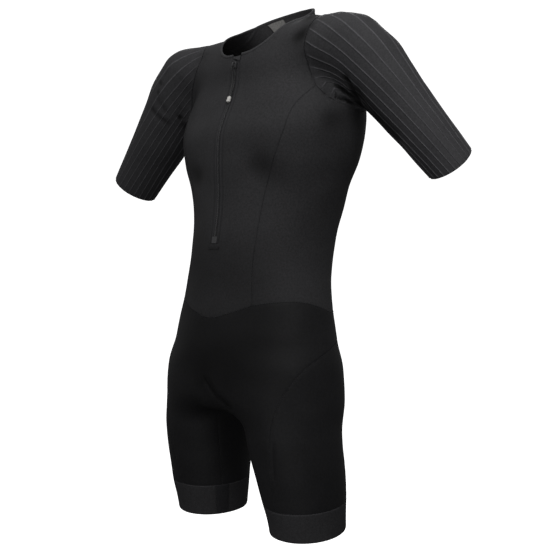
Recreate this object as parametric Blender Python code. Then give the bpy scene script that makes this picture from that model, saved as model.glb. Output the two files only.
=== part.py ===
"""A short-sleeved triathlon suit, filled out with no wearer.

Metres, +Z up. The chest faces -Y and the suit's left side is +X. The origin is between the
shoulders, level with the base of the neck, where the wearer holds the suit up.

The suit's shape is one smooth form: stacked torso sections, two legs and two arms, each a signed
distance, blended together. Every cut piece is a grid laid between its seams, drawn onto that form
and given a wall. Neighbours share the points of their seam, so each seam keeps one even gap.
"""

import math

import bmesh
import bpy
import numpy as np

for leftover in list(bpy.data.objects):
    bpy.data.objects.remove(leftover, do_unlink=True)

MM = 0.001
WALL = 1.4 * MM  # stretch cloth with its seam tape
SEAM_GAP = 0.3 * MM
SIDES = {"left": 1.0, "right": -1.0}

# ---------------------------------------------------------------- the form

# Torso sections, top to bottom. front and back are where the section crosses the middle plane,
# widest is where along Y it is broadest, and square is the exponent of its superellipse.
TORSO = {
    "height": (0.080, 0.040, 0.010, -0.015, -0.045, -0.080, -0.120, -0.160, -0.200, -0.245,
               -0.290, -0.335, -0.375, -0.420, -0.470, -0.510, -0.565, -0.620, -0.680),
    "half_width": (0.066, 0.068, 0.071, 0.076, 0.089, 0.132, 0.167, 0.185, 0.186, 0.177,
                   0.157, 0.141, 0.133, 0.133, 0.143, 0.153, 0.166, 0.171, 0.168),
    "front": (-0.046, -0.052, -0.060, -0.070, -0.081, -0.093, -0.099, -0.113, -0.130, -0.134,
              -0.133, -0.135, -0.141, -0.146, -0.150, -0.154, -0.161, -0.161, -0.149),
    "back": (0.062, 0.067, 0.074, 0.081, 0.090, 0.100, 0.106, 0.108, 0.109, 0.107,
             0.102, 0.095, 0.084, 0.072, 0.060, 0.055, 0.057, 0.061, 0.057),
    "widest": (0.005, 0.005, 0.005, 0.005, 0.000, -0.003, -0.005, -0.008, -0.010, -0.013,
               -0.016, -0.020, -0.027, -0.035, -0.043, -0.047, -0.051, -0.054, -0.056),
    "square": (2.0, 2.0, 2.0, 2.0, 2.1, 2.3, 2.3, 2.25, 2.15, 2.05,
               2.00, 2.05, 2.1, 2.1, 2.1, 2.1, 2.1, 2.1, 2.1),
}
CROTCH_HEIGHT = -0.664
HIP_ROUNDING = 0.030

# Leg sections, top to bottom, for the left leg: the centre and the two half sizes.
LEG = {
    "height": (-0.560, -0.640, -0.700, -0.750, -0.800, -0.850, -0.900),
    "centre_x": (0.086, 0.094, 0.104, 0.110, 0.115, 0.117, 0.118),
    "centre_y": (-0.053, -0.057, -0.060, -0.055, -0.049, -0.043, -0.039),
    "half_width": (0.070, 0.077, 0.078, 0.075, 0.070, 0.0635, 0.059),
    "half_depth": (0.084, 0.087, 0.081, 0.076, 0.070, 0.0635, 0.059),
}
LEG_TOP = -0.575

# Arm sections, shoulder to hem, by distance along the arm: radii above, below and front to back.
ARM = {
    "along": (-0.060, 0.000, 0.050, 0.100, 0.160, 0.220, 0.300, 0.340),
    "top_radius": (0.052, 0.056, 0.0605, 0.0555, 0.049, 0.044, 0.039, 0.037),
    "under_radius": (0.055, 0.055, 0.056, 0.054, 0.049, 0.044, 0.039, 0.037),
    "depth_radius": (0.060, 0.061, 0.060, 0.055, 0.050, 0.045, 0.040, 0.038),
}
ARM_FULLNESS = {"left": 0.90, "right": 1.06}  # the right sleeve hangs looser
ARM_ENDS = {  # middle of the shoulder ball and middle of the sleeve hem
    "left": ((0.184, -0.002, -0.065), (0.367, 0.003, -0.273)),
    "right": ((-0.194, -0.022, -0.069), (-0.368, -0.038, -0.275)),
}
SHOULDER_BAR = {"reach": 0.150, "y": -0.008, "height": -0.0675, "tilt": 0.005,
                "radius": 0.056, "depth": 0.066}
BLEND = {"bar": 0.030, "leg": 0.030, "arm_top": 0.020, "left_armpit": 0.044, "right_armpit": 0.028}
ARMPIT = {"low": -0.160, "high": -0.070}  # between these heights the arm's blend goes from armpit to top


def smooth_read(table, key, names):
    """Columns of a table at the key's values, on curves that pass through every row."""
    rows = np.array([table[name] for name in table], float)
    order = np.argsort(rows[0])
    knots, values = rows[0][order], rows[1:, order]
    slopes = np.gradient(values, knots, axis=1)
    key = np.clip(key, knots[0], knots[-1])
    at = np.clip(np.searchsorted(knots, key) - 1, 0, len(knots) - 2)
    span = knots[at + 1] - knots[at]
    t = (key - knots[at]) / span
    read = ((2 * t**3 - 3 * t**2 + 1) * values[:, at] + (t**3 - 2 * t**2 + t) * span * slopes[:, at]
            + (3 * t**2 - 2 * t**3) * values[:, at + 1] + (t**3 - t**2) * span * slopes[:, at + 1])
    columns = list(table)[1:]
    return [read[columns.index(name)] for name in names]


def smooth_min(a, b, width):
    """The smaller of two distances, rounded where they are within width of each other."""
    share = np.clip(0.5 + 0.5 * (b - a) / width, 0, 1)
    return a * share + b * (1 - share) - width * share * (1 - share)


def section_distance(across, depth, half_width, half_depth, square):
    """Signed distance, near enough, from a superellipse: negative inside."""
    size = np.hypot(across, depth) + 1e-9
    reach = (np.abs(across / half_width) ** square + np.abs(depth / half_depth) ** square) ** (1 / square)
    return size * (1 - 1 / np.maximum(reach, 1e-6))


def torso_distance(p):
    half_width, front, back, widest, square = smooth_read(
        TORSO, p[:, 2], ("half_width", "front", "back", "widest", "square"))
    depth = p[:, 1] - widest
    half_depth = np.where(depth < 0, widest - front, back - widest)
    around = section_distance(p[:, 0], depth, half_width, half_depth, square)
    return -smooth_min(-around, p[:, 2] - CROTCH_HEIGHT, HIP_ROUNDING)


def leg_distance(p, side):
    x, y, half_width, half_depth = smooth_read(
        LEG, p[:, 2], ("centre_x", "centre_y", "half_width", "half_depth"))
    around = section_distance(p[:, 0] - side * x, p[:, 1] - y, half_width, half_depth, 2.0)
    return -smooth_min(-around, LEG_TOP - p[:, 2], HIP_ROUNDING)


def arm_frame(name):
    """Shoulder point, direction along the arm, direction across its top, and direction to the back."""
    shoulder, hem = (np.array(end) for end in ARM_ENDS[name])
    along = (hem - shoulder) / np.linalg.norm(hem - shoulder)
    back = np.array((0.0, 1.0, 0.0)) - along[1] * along
    back /= np.linalg.norm(back)
    lift = np.cross(back, along) * -SIDES[name]
    return shoulder, along, lift, back


def arm_distance(p, name):
    shoulder, along, lift, back = arm_frame(name)
    q = p - shoulder
    s = q @ along
    top, under, depth_radius = smooth_read(ARM, s, ("top_radius", "under_radius", "depth_radius"))
    lift_radius = np.where(q @ lift > 0, top, under) * ARM_FULLNESS[name]
    depth_radius = depth_radius * ARM_FULLNESS[name]
    flat = section_distance(q @ lift, q @ back, lift_radius, depth_radius, 2.0)
    ball_reach = np.sqrt((q @ lift / lift_radius) ** 2 + (q @ back / depth_radius) ** 2
                         + (s / lift_radius) ** 2) + 1e-9
    ball = np.linalg.norm(q, axis=1) * (1 - 1 / ball_reach)
    return np.where(s > 0, flat, ball)


def bar_distance(p):
    """The yoke: a rounded bar from shoulder to shoulder."""
    beyond = np.maximum(np.abs(p[:, 0]) - SHOULDER_BAR["reach"], 0)
    y = p[:, 1] - SHOULDER_BAR["y"]
    z = p[:, 2] - SHOULDER_BAR["height"] - SHOULDER_BAR["tilt"] * p[:, 0]
    reach = np.sqrt((y / SHOULDER_BAR["depth"]) ** 2 + (z / SHOULDER_BAR["radius"]) ** 2
                    + (beyond / SHOULDER_BAR["radius"]) ** 2) + 1e-9
    return np.sqrt(y**2 + z**2 + beyond**2) * (1 - 1 / reach)


def form_distance(p):
    """Signed distance from the whole filled-out form: negative inside."""
    form = smooth_min(torso_distance(p), bar_distance(p), BLEND["bar"])
    high = np.clip((p[:, 2] - ARMPIT["low"]) / (ARMPIT["high"] - ARMPIT["low"]), 0, 1)
    for name in SIDES:
        armpit = BLEND[f"{name}_armpit"]
        form = smooth_min(form, arm_distance(p, name), armpit + (BLEND["arm_top"] - armpit) * high)
    legs = np.minimum(leg_distance(p, 1.0), leg_distance(p, -1.0))
    return smooth_min(form, legs, BLEND["leg"])


def slope_of(p):
    """Gradient of the form's distance, by central differences."""
    step = 0.4 * MM
    slope = np.empty_like(p)
    for axis in range(3):
        move = np.zeros(3)
        move[axis] = step
        slope[:, axis] = (form_distance(p + move) - form_distance(p - move)) / (2 * step)
    return slope


def onto_form(p, rounds=12):
    """Points moved to the form's surface, straight down its slope."""
    shape = np.shape(p)
    p = np.array(p, float).reshape(-1, 3)
    for _ in range(rounds):
        slope = slope_of(p)
        step = form_distance(p)[:, None] * slope / (slope**2).sum(axis=1)[:, None]
        size = np.linalg.norm(step, axis=1)[:, None] + 1e-12
        p = p - step * np.minimum(1, 0.03 / size)
    return p.reshape(shape)


def normals_of(p):
    slope = slope_of(np.reshape(p, (-1, 3)))
    return (slope / np.linalg.norm(slope, axis=1)[:, None]).reshape(np.shape(p))


# ---------------------------------------------------------------- seams

# Places where seams meet, on the left side (x, y, z). Each is drawn onto the form.
PLACES = {
    "neck_front": (0.0112, -0.088, -0.068),
    "neck_side": (0.073, 0.020, 0.011),
    "neck_back": (0.000, 0.066, 0.036),
    "shoulder": (0.135, 0.022, -0.004),
    "chest_corner": (0.154, -0.062, -0.133),
    "back_corner": (0.170, 0.068, -0.146),
    "slot_end": (0.0112, -0.140, -0.386),
    "waist_slot": (0.0112, -0.152, -0.508),
    "waist_front": (0.000, -0.152, -0.508),
    "waist_corner": (0.082, -0.134, -0.486),
    "waist_side_back": (0.105, 0.030, -0.497),
    "waist_back": (0.000, 0.058, -0.488),
    "hip_back": (0.118, 0.038, -0.536),
    "thigh_front": (0.141, -0.126, -0.627),
    "crotch": (0.000, -0.088, -0.657),
}

# Hand-set points between two places, in order; an empty row runs straight over the form.
SEAMS = {
    ("neck_front", "neck_side"): ((0.026, -0.087, -0.067), (0.048, -0.079, -0.058),
                                  (0.065, -0.063, -0.042), (0.075, -0.045, -0.026),
                                  (0.079, -0.012, -0.004)),
    ("neck_side", "neck_back"): ((0.058, 0.044, 0.024), (0.031, 0.061, 0.033)),
    ("neck_side", "shoulder"): (),
    ("shoulder", "chest_corner"): ((0.136, -0.012, -0.009), (0.141, -0.040, -0.022),
                                   (0.142, -0.056, -0.042), (0.138, -0.066, -0.070),
                                   (0.141, -0.067, -0.101)),
    ("chest_corner", "back_corner"): ((0.168, -0.048, -0.155), (0.180, -0.025, -0.166),
                                      (0.186, 0.005, -0.170), (0.182, 0.040, -0.165)),
    ("back_corner", "shoulder"): ((0.152, 0.078, -0.112), (0.140, 0.076, -0.070), (0.134, 0.058, -0.026)),
    ("neck_front", "slot_end"): ((0.0112, -0.105, -0.120), (0.0112, -0.123, -0.178),
                                 (0.0112, -0.132, -0.240), (0.0112, -0.133, -0.300)),
    ("slot_end", "waist_slot"): ((0.0112, -0.147, -0.440),),
    ("chest_corner", "waist_corner"): ((0.142, -0.077, -0.150), (0.132, -0.087, -0.166),
                                       (0.120, -0.102, -0.211), (0.108, -0.108, -0.245),
                                       (0.090, -0.110, -0.296), (0.079, -0.119, -0.365),
                                       (0.076, -0.126, -0.415)),
    ("back_corner", "waist_side_back"): ((0.148, 0.085, -0.220), (0.118, 0.070, -0.330),
                                         (0.104, 0.048, -0.420)),
    ("waist_slot", "waist_corner"): ((0.030, -0.151, -0.503), (0.058, -0.143, -0.495)),
    ("waist_corner", "waist_side_back"): ((0.113, -0.113, -0.481), (0.142, -0.070, -0.482),
                                          (0.147, -0.047, -0.489), (0.144, -0.014, -0.499)),
    ("waist_side_back", "waist_back"): ((0.060, 0.050, -0.491),),
    ("waist_side_back", "hip_back"): (),
    ("thigh_front", "hip_back"): ((0.158, -0.101, -0.589), (0.167, -0.064, -0.566), (0.152, -0.009, -0.547)),
    ("waist_front", "crotch"): ((0.000, -0.156, -0.560), (0.000, -0.150, -0.615), (0.000, -0.122, -0.648)),
    ("waist_back", "crotch"): ((0.000, 0.060, -0.560), (0.000, 0.056, -0.620), (0.000, 0.020, -0.664),
                               (0.000, -0.040, -0.672)),
    ("crotch", "thigh_front"): ((0.040, -0.125, -0.654), (0.090, -0.142, -0.646)),
    ("crotch", "hip_back"): ((0.045, 0.005, -0.668), (0.100, 0.040, -0.630), (0.122, 0.046, -0.580)),
    ("crotch", "inseam"): ((0.026, -0.105, -0.672), (0.036, -0.098, -0.722)),
    ("thigh_front", "band_front"): ((0.128, -0.132, -0.665), (0.122, -0.130, -0.720)),
    ("hip_back", "band_outer_back"): ((0.140, 0.036, -0.620), (0.158, 0.014, -0.700), (0.164, 0.004, -0.760)),
}

# The right armhole sits a little lower and wider, because that arm reaches forward.
RIGHT_PLACES = {"chest_corner": (0.163, -0.063, -0.128)}
RIGHT_SEAMS = {
    ("shoulder", "chest_corner"): ((0.136, -0.015, -0.012), (0.128, -0.045, -0.030),
                                   (0.120, -0.066, -0.052), (0.132, -0.071, -0.080),
                                   (0.150, -0.068, -0.106)),
    ("chest_corner", "back_corner"): ((0.176, -0.056, -0.148), (0.187, -0.036, -0.168),
                                      (0.189, -0.008, -0.176), (0.184, 0.020, -0.172),
                                      (0.176, 0.042, -0.162)),
}

STEPS = {  # spaces along each seam
    ("neck_front", "neck_side"): 6, ("neck_side", "neck_back"): 5, ("neck_side", "shoulder"): 6,
    ("shoulder", "chest_corner"): 10, ("chest_corner", "back_corner"): 10, ("back_corner", "shoulder"): 8,
    ("neck_front", "slot_end"): 12, ("slot_end", "waist_slot"): 4,
    ("chest_corner", "waist_corner"): 12, ("back_corner", "waist_side_back"): 12,
    ("waist_slot", "waist_corner"): 6, ("waist_corner", "waist_side_back"): 10,
    ("waist_side_back", "waist_back"): 11, ("waist_side_back", "hip_back"): 7,
    ("thigh_front", "hip_back"): 11, ("waist_front", "crotch"): 7, ("waist_back", "crotch"): 7,
    ("crotch", "thigh_front"): 6, ("crotch", "hip_back"): 11, ("crotch", "inseam"): 9,
    ("thigh_front", "band_front"): 9, ("hip_back", "band_outer_back"): 9,
}

# The leg band's ring: angles round the leg, from its front outward, where seams and inserts meet it.
BAND = {
    "left": {"top": -0.806, "hem": -0.854, "front_dip": 0.0065},
    "right": {"top": -0.805, "hem": -0.859, "front_dip": 0.004},
}
BAND_ROWS = 2
BAND_ANGLES = {"band_front": 0.0, "band_outer_back": 135.0, "band_inner_back": 285.0,
               "inseam": 295.0, "band_inner_front": 305.0}
BAND_STEPS = {("band_front", "band_outer_back"): 11, ("band_outer_back", "band_inner_back"): 10,
              ("band_inner_back", "inseam"): 1, ("inseam", "band_inner_front"): 1,
              ("band_inner_front", "band_front"): 5}


def resampled(points, count):
    """Points along a polyline at count equal spaces."""
    points = np.asarray(points, float)
    far = np.concatenate([[0], np.cumsum(np.linalg.norm(np.diff(points, axis=0), axis=1))])
    at = np.linspace(0, far[-1], count + 1)
    return np.stack([np.interp(at, far, points[:, axis]) for axis in range(3)], axis=1)


def curve_through(points, count):
    """A smooth curve through hand-set points, drawn onto the form, at count equal spaces."""
    points = np.asarray(points, float)
    knots = np.concatenate([[0], np.cumsum(np.linalg.norm(np.diff(points, axis=0), axis=1))])
    table = {"at": knots, "x": points[:, 0], "y": points[:, 1], "z": points[:, 2]}
    fine = np.stack(smooth_read(table, np.linspace(0, knots[-1], 12 * count + 1), ("x", "y", "z")), axis=1)
    return onto_form(resampled(onto_form(fine), count))


def band_point(side, angle, height):
    """Point on a leg at an angle from its front, turning outward."""
    key = np.array([height])
    x, y, half_width, half_depth = (value[0] for value in smooth_read(LEG, key, list(LEG)[1:]))
    turn = math.radians(angle)
    return (side * (x + half_width * math.sin(turn)), y - half_depth * math.cos(turn), height)


def band_height(side, angle, edge):
    """Height of a band's top or hem, which dip a little at the front."""
    band = BAND["left" if side > 0 else "right"]
    return band[edge] - band["front_dip"] * math.cos(math.radians(angle))


def place(name, side):
    if name in BAND_ANGLES:
        angle = BAND_ANGLES[name]
        return band_point(side, angle, band_height(side, angle, "top"))
    moved = RIGHT_PLACES if side < 0 else {}
    x, y, z = moved.get(name, PLACES[name])
    return (side * x, y, z)


class Seams:
    """Every seam, drawn once; a piece asks for it in either direction and on either side."""

    def __init__(self):
        self.kept = {}

    def line(self, start, end, side):
        for pair in ((start, end), (end, start)):
            if pair in SEAMS:
                key = (pair, side)
                if key not in self.kept:
                    moved = RIGHT_SEAMS if side < 0 else {}
                    between = [(side * x, y, z) for x, y, z in moved.get(pair, SEAMS[pair])]
                    ends = [place(pair[0], side)] + between + [place(pair[1], side)]
                    line = curve_through(ends, STEPS[pair])
                    line[0], line[-1] = self.corner(pair[0], side), self.corner(pair[1], side)
                    self.kept[key] = line
                return self.kept[key] if pair == (start, end) else self.kept[key][::-1]
        raise KeyError((start, end))

    def corner(self, name, side):
        key = (name, side)
        if key not in self.kept:
            self.kept[key] = onto_form(np.array([place(name, side)]))[0]
        return self.kept[key]

    def ring(self, start, end, side, edge="top"):
        """A stretch of the band's ring, at the band's top or hem."""
        key = (start, end, side, edge)
        if key not in self.kept:
            first, last = BAND_ANGLES[start], BAND_ANGLES[end]
            last += 360 * (last <= first)
            angles = np.linspace(first, last, BAND_STEPS[(start, end)] + 1)
            line = onto_form([band_point(side, angle, band_height(side, angle, edge)) for angle in angles])
            if edge == "top":
                line[0], line[-1] = self.corner(start, side), self.corner(end, side)
            self.kept[key] = line
        return self.kept[key]

    def path(self, names, side):
        """Seams joined end to end."""
        return self.end_to_end([self.line(a, b, side) for a, b in zip(names, names[1:])])

    def ring_path(self, names, side, edge="top"):
        """Stretches of a band's ring joined end to end."""
        return self.end_to_end([self.ring(a, b, side, edge) for a, b in zip(names, names[1:])])

    @staticmethod
    def end_to_end(lines):
        return np.concatenate([lines[0]] + [line[1:] for line in lines[1:]])


seams = Seams()


def patch(top, bottom, left, right):
    """Grid between four edges (a Coons patch), drawn onto the form. Rows run from top to bottom."""
    rows, columns = len(left), len(top)
    down = np.linspace(0, 1, rows)[:, None, None]
    over = np.linspace(0, 1, columns)[None, :, None]
    grid = ((1 - down) * top[None] + down * bottom[None] + (1 - over) * left[:, None] + over * right[:, None]
            - (1 - down) * (1 - over) * top[0] - (1 - down) * over * top[-1]
            - down * (1 - over) * bottom[0] - down * over * bottom[-1])
    grid[1:-1, 1:-1] = onto_form(grid[1:-1, 1:-1])
    return grid


# ---------------------------------------------------------------- folds

# The largest creases. Each runs from one point to another over a sleeve; width is the reach of its
# trough and depth how far it sinks. A negative depth is the roll of cloth beside it.
FOLDS = {
    "start": ((0.161, -0.056, -0.140), (0.176, -0.040, -0.128), (0.168, -0.052, -0.132),
              (-0.216, -0.088, -0.080), (-0.222, -0.088, -0.092), (-0.226, -0.088, -0.110),
              (-0.243, -0.086, -0.128), (-0.218, -0.090, -0.086)),
    "end": ((0.183, 0.006, -0.159), (0.188, 0.002, -0.152), (0.187, -0.010, -0.150),
            (-0.184, -0.056, -0.144), (-0.189, -0.052, -0.152), (-0.208, -0.076, -0.142),
            (-0.222, -0.076, -0.157), (-0.187, -0.055, -0.149)),
    "width": (0.0060, 0.0055, 0.0045, 0.0060, 0.0060, 0.0055, 0.0060, 0.0040),
    "depth": (0.0045, 0.0040, -0.0016, 0.0032, 0.0034, 0.0022, 0.0018, -0.0012),
}


def fold_height(p):
    """How far each point sinks (negative) or stands proud along the form's normal."""
    shape = np.shape(p)[:-1]
    p = np.reshape(p, (-1, 3))
    height = np.zeros(len(p))
    for start, end, width, depth in zip(*(FOLDS[name] for name in ("start", "end", "width", "depth"))):
        start, run = np.array(start), np.subtract(end, start)
        at = (p - start) @ run / (run @ run)
        off = np.linalg.norm(p - start - np.clip(at, 0, 1)[:, None] * run, axis=1)
        fade = np.clip(1.15 - np.abs(2 * np.clip(at, 0, 1) - 1) ** 2.5, 0, 1)
        height -= depth * fade * np.exp(-((off / width) ** 2))
    return height.reshape(shape)


# ---------------------------------------------------------------- cloth

CLOTH = {  # colour (linear RGB) and roughness
    "jersey": ((0.0205, 0.0206, 0.0225), 0.72),
    "shorts": ((0.0135, 0.0136, 0.0150), 0.66),
    "sleeve": ((0.0240, 0.0242, 0.0265), 0.78),
    "band": ((0.0500, 0.0500, 0.0530), 0.80),
    "insert": ((0.0220, 0.0220, 0.0240), 0.60),
    "binding": ((0.0300, 0.0300, 0.0330), 0.75),
    "tape": ((0.0260, 0.0260, 0.0280), 0.80),
    "coil": ((0.0400, 0.0400, 0.0430), 0.45),
    "slider": ((0.0300, 0.0300, 0.0320), 0.35),
    "cord": ((0.0450, 0.0450, 0.0480), 0.70),
    "tip": ((0.7000, 0.7000, 0.6900), 0.45),
    "label": ((0.2200, 0.2200, 0.2300), 0.80),
}


def material(name):
    made = bpy.data.materials.get(name)
    if made is None:
        colour, roughness = CLOTH[name]
        made = bpy.data.materials.new(name)
        made.use_nodes = True
        shader = made.node_tree.nodes["Principled BSDF"]
        shader.inputs["Base Color"].default_value = (*colour, 1.0)
        shader.inputs["Roughness"].default_value = roughness
        shader.inputs["Metallic"].default_value = 0.0
    return made


def add_object(name, points, faces, finish):
    mesh = bpy.data.meshes.new(name)
    mesh.from_pydata([tuple(point) for point in points], [], [tuple(face) for face in faces])
    mesh.validate()
    mesh.shade_smooth()
    mesh.set_sharp_from_angle(angle=math.radians(40))
    mesh.materials.append(material(finish))
    made = bpy.data.objects.new(name, mesh)
    bpy.context.scene.collection.objects.link(made)
    return made


def joined(grids):
    """One set of points and outward four-sided faces from grids that share their edge points."""
    points, faces, known = [], [], {}
    for grid in grids:
        rows, columns = grid.shape[:2]
        number = np.empty((rows, columns), int)
        for i in range(rows):
            for j in range(columns):
                key = tuple(np.round(grid[i, j] / (2e-3 * MM)).astype(int))
                if key not in known:
                    known[key] = len(points)
                    points.append(grid[i, j])
                number[i, j] = known[key]
        quads = np.stack([number[:-1, :-1], number[1:, :-1], number[1:, 1:], number[:-1, 1:]], axis=-1)
        quads = quads.reshape(-1, 4)
        corners = np.array(points)[quads]
        facing = np.cross(corners[:, 2] - corners[:, 0], corners[:, 3] - corners[:, 1])
        outward = (facing * normals_of(corners.mean(axis=1))).sum()
        faces.extend(quads if outward > 0 else quads[:, ::-1])
    return np.array(points), np.array(faces)


def open_edges(faces):
    """Edges that only one face has, in that face's direction."""
    edges = np.concatenate([faces[:, [k, (k + 1) % 4]] for k in range(4)])
    seen = {}
    for a, b in edges:
        seen[(min(a, b), max(a, b))] = seen.get((min(a, b), max(a, b)), 0) + 1
    return [(a, b) for a, b in edges if seen[(min(a, b), max(a, b))] == 1]


def pulled_in(points, normals, edges, gap):
    """Border points moved into their own piece, square to its border, by half a seam's gap."""
    sums, counts = np.zeros_like(points), np.zeros(len(points))
    for a, b in edges:
        along = points[b] - points[a]
        inward = np.cross(normals[a] + normals[b], along)
        inward /= np.linalg.norm(inward)
        for end in (a, b):
            sums[end] += inward
            counts[end] += 1
    border = counts > 0
    size = np.linalg.norm(sums[border], axis=1)
    moved = points.copy()
    moved[border] += sums[border] * (gap * np.minimum(counts[border] / size**2, 2.5 / size))[:, None]
    return moved


def cloth(name, grids, finish, wall=WALL, lift=0.0, gap=SEAM_GAP / 2):
    """A walled piece: its outer face lies lift above the form, its inner face a wall further in."""
    points, faces = joined(grids)
    normals = normals_of(points)
    edges = open_edges(faces)
    sunk = fold_height(points)[:, None]
    points = pulled_in(points, normals, edges, gap)
    outer = points + normals * (lift + sunk)
    inner = outer - normals * wall
    count = len(points)
    rims = [(b, a, a + count, b + count) for a, b in edges]
    every = [tuple(face) for face in faces] + [tuple(face[::-1] + count) for face in faces] + rims
    return add_object(name, np.concatenate([outer, inner]), every, finish)


def front_grids(side):
    """Half the front in two grids, above and below a line from the zip to the armhole."""
    opening = seams.line("neck_front", "slot_end", side)
    high = STEPS[("shoulder", "chest_corner")] - STEPS[("neck_front", "neck_side")]
    across = onto_form(resampled([opening[high], seams.corner("chest_corner", side)],
                                 STEPS[("neck_side", "shoulder")]))
    across[0], across[-1] = opening[high], seams.corner("chest_corner", side)
    upper = patch(seams.line("neck_side", "shoulder", side), across,
                  np.concatenate([seams.line("neck_side", "neck_front", side), opening[1:high + 1]]),
                  seams.line("shoulder", "chest_corner", side))
    lower = patch(across, seams.line("waist_slot", "waist_corner", side),
                  np.concatenate([opening[high:], seams.line("slot_end", "waist_slot", side)[1:]]),
                  seams.line("chest_corner", "waist_corner", side))
    return [upper, lower]


def front_body():
    halves = front_grids(1.0) + front_grids(-1.0)
    left, right = (seams.line("slot_end", "waist_slot", side) for side in (1.0, -1.0))
    middle = onto_form((left + right) / 2)
    middle[-1] = seams.corner("waist_front", 1.0)
    strip = np.stack([right, middle, left], axis=1)
    cloth("front_body", halves + [strip], "jersey")


def side_panel(name, side):
    cloth(f"side_panel_{name}", [patch(
        seams.path(("chest_corner", "back_corner"), side),
        seams.path(("waist_corner", "waist_side_back"), side),
        seams.path(("chest_corner", "waist_corner"), side),
        seams.path(("back_corner", "waist_side_back"), side))], "jersey")


def back_grid():
    right, left = -1.0, 1.0
    top = np.concatenate([seams.path(("shoulder", "neck_side", "neck_back"), right),
                          seams.path(("neck_back", "neck_side", "shoulder"), left)[1:]])
    bottom = np.concatenate([seams.path(("waist_side_back", "waist_back"), right),
                             seams.path(("waist_back", "waist_side_back"), left)[1:]])
    sides = [seams.path(("shoulder", "back_corner", "waist_side_back"), side) for side in (right, left)]
    return patch(top, bottom, *sides)


def back_body():
    cloth("back_body", [back_grid()], "jersey")


def waist_front_line(side):
    """The waist seam from the middle of the front to the back of the hip."""
    line = seams.path(("waist_slot", "waist_corner", "waist_side_back"), side)
    return np.concatenate([[seams.corner("waist_front", side)], line])


def hip_front():
    grids = []
    for side in SIDES.values():
        grids.append(patch(
            waist_front_line(side),
            seams.path(("crotch", "thigh_front", "hip_back"), side),
            seams.path(("waist_front", "crotch"), side),
            seams.path(("waist_side_back", "hip_back"), side)))
        grids.append(patch(
            seams.path(("crotch", "thigh_front"), side),
            seams.ring_path(("inseam", "band_inner_front", "band_front"), side),
            seams.path(("crotch", "inseam"), side),
            seams.path(("thigh_front", "band_front"), side)))
    cloth("hip_front", grids, "shorts")


def seat_back():
    grids = []
    for side in SIDES.values():
        grids.append(patch(
            seams.path(("waist_back", "waist_side_back"), side),
            seams.path(("crotch", "hip_back"), side),
            seams.path(("waist_back", "crotch"), side),
            seams.path(("waist_side_back", "hip_back"), side)))
        grids.append(patch(
            seams.path(("crotch", "hip_back"), side),
            seams.ring_path(("band_outer_back", "band_inner_back", "inseam"), side)[::-1],
            seams.path(("crotch", "inseam"), side),
            seams.path(("hip_back", "band_outer_back"), side)))
    cloth("seat_back", grids, "shorts")


def outer_leg(name, side):
    cloth(f"outer_leg_{name}", [patch(
        seams.path(("thigh_front", "hip_back"), side),
        seams.ring("band_front", "band_outer_back", side),
        seams.path(("thigh_front", "band_front"), side),
        seams.path(("hip_back", "band_outer_back"), side))], "shorts")


def leg_band(name, side):
    """The wide gripper band, all round the leg but for the insert where its ends meet."""
    cut = {
        "leg_band": (("band_inner_front", "band_front", "band_outer_back", "band_inner_back"), "band"),
        "band_insert": (("band_inner_back", "inseam", "band_inner_front"), "insert"),
    }
    down = np.linspace(0, 1, BAND_ROWS + 1)[:, None, None]
    for node, (names, finish) in cut.items():
        top, hem = (seams.ring_path(names, side, edge) for edge in ("top", "hem"))
        grid = (1 - down) * top[None] + down * hem[None]
        grid[1:-1] = onto_form(grid[1:-1])
        cloth(f"{node}_{name}", [grid], finish)


# ---------------------------------------------------------------- sleeves

SLEEVE = {  # length from the shoulder ball to the hem, and how much longer the front and top run
    "left": {"length": 0.273, "front": 0.026, "top": 0.013},
    "right": {"length": 0.263, "front": -0.002, "top": 0.002},
}
RIBS = {"count": 24, "height": 0.8 * MM, "half_width": 0.13, "rows": 17, "crowding": 1.15, "turning": 0.9,
        "start": 1.1 * MM}
ARMHOLE = ("shoulder", "chest_corner", "back_corner", "shoulder")


def along_polyline(line, share, values=None):
    """Points at shares of a polyline's length, or any other values that its points have."""
    far = np.concatenate([[0], np.cumsum(np.linalg.norm(np.diff(line, axis=0), axis=1))])
    values = line if values is None else values
    return np.stack([np.interp(share * far[-1], far, values[:, axis]) for axis in range(3)], axis=1)


def out_to_form(centre, direction, reach=0.16, steps=48):
    """Where rays from inside the form first leave it."""
    far = np.linspace(0, reach, steps)
    beyond = form_distance((centre[:, None] + far[None, :, None] * direction[:, None]).reshape(-1, 3))
    first = np.argmax(beyond.reshape(-1, steps) > 0, axis=1)
    near, past = far[np.maximum(first - 1, 0)], far[first]
    for _ in range(18):
        middle = (near + past) / 2
        outside = form_distance(centre + middle[:, None] * direction) > 0
        near, past = np.where(outside, near, middle), np.where(outside, middle, past)
    return centre + near[:, None] * direction


def sleeve_grid(name, share, rows):
    """Points of a sleeve: rows from armhole to hem, columns at shares of the way round."""
    shoulder, along, lift, back = arm_frame(name)
    start = along_polyline(seams.path(ARMHOLE, SIDES[name]), share)
    turn = 2 * math.pi * share
    cut = SLEEVE[name]
    length = cut["length"] + cut["front"] * np.sin(turn) + cut["top"] * np.cos(turn)
    first = (start - shoulder) / np.linalg.norm(start - shoulder, axis=1)[:, None]
    last = np.cos(turn)[:, None] * lift - np.sin(turn)[:, None] * back
    down = (np.linspace(0, 1, rows + 1) ** RIBS["crowding"])[:, None, None]
    centre = shoulder + along * (length[None, :, None] * down)
    eased = down**RIBS["turning"]
    direction = first[None] * (1 - eased) + last[None] * eased
    direction /= np.linalg.norm(direction, axis=2)[..., None]
    grid = out_to_form(centre.reshape(-1, 3), direction.reshape(-1, 3)).reshape(rows + 1, len(share), 3)
    grid[0] = start
    return grid


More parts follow.
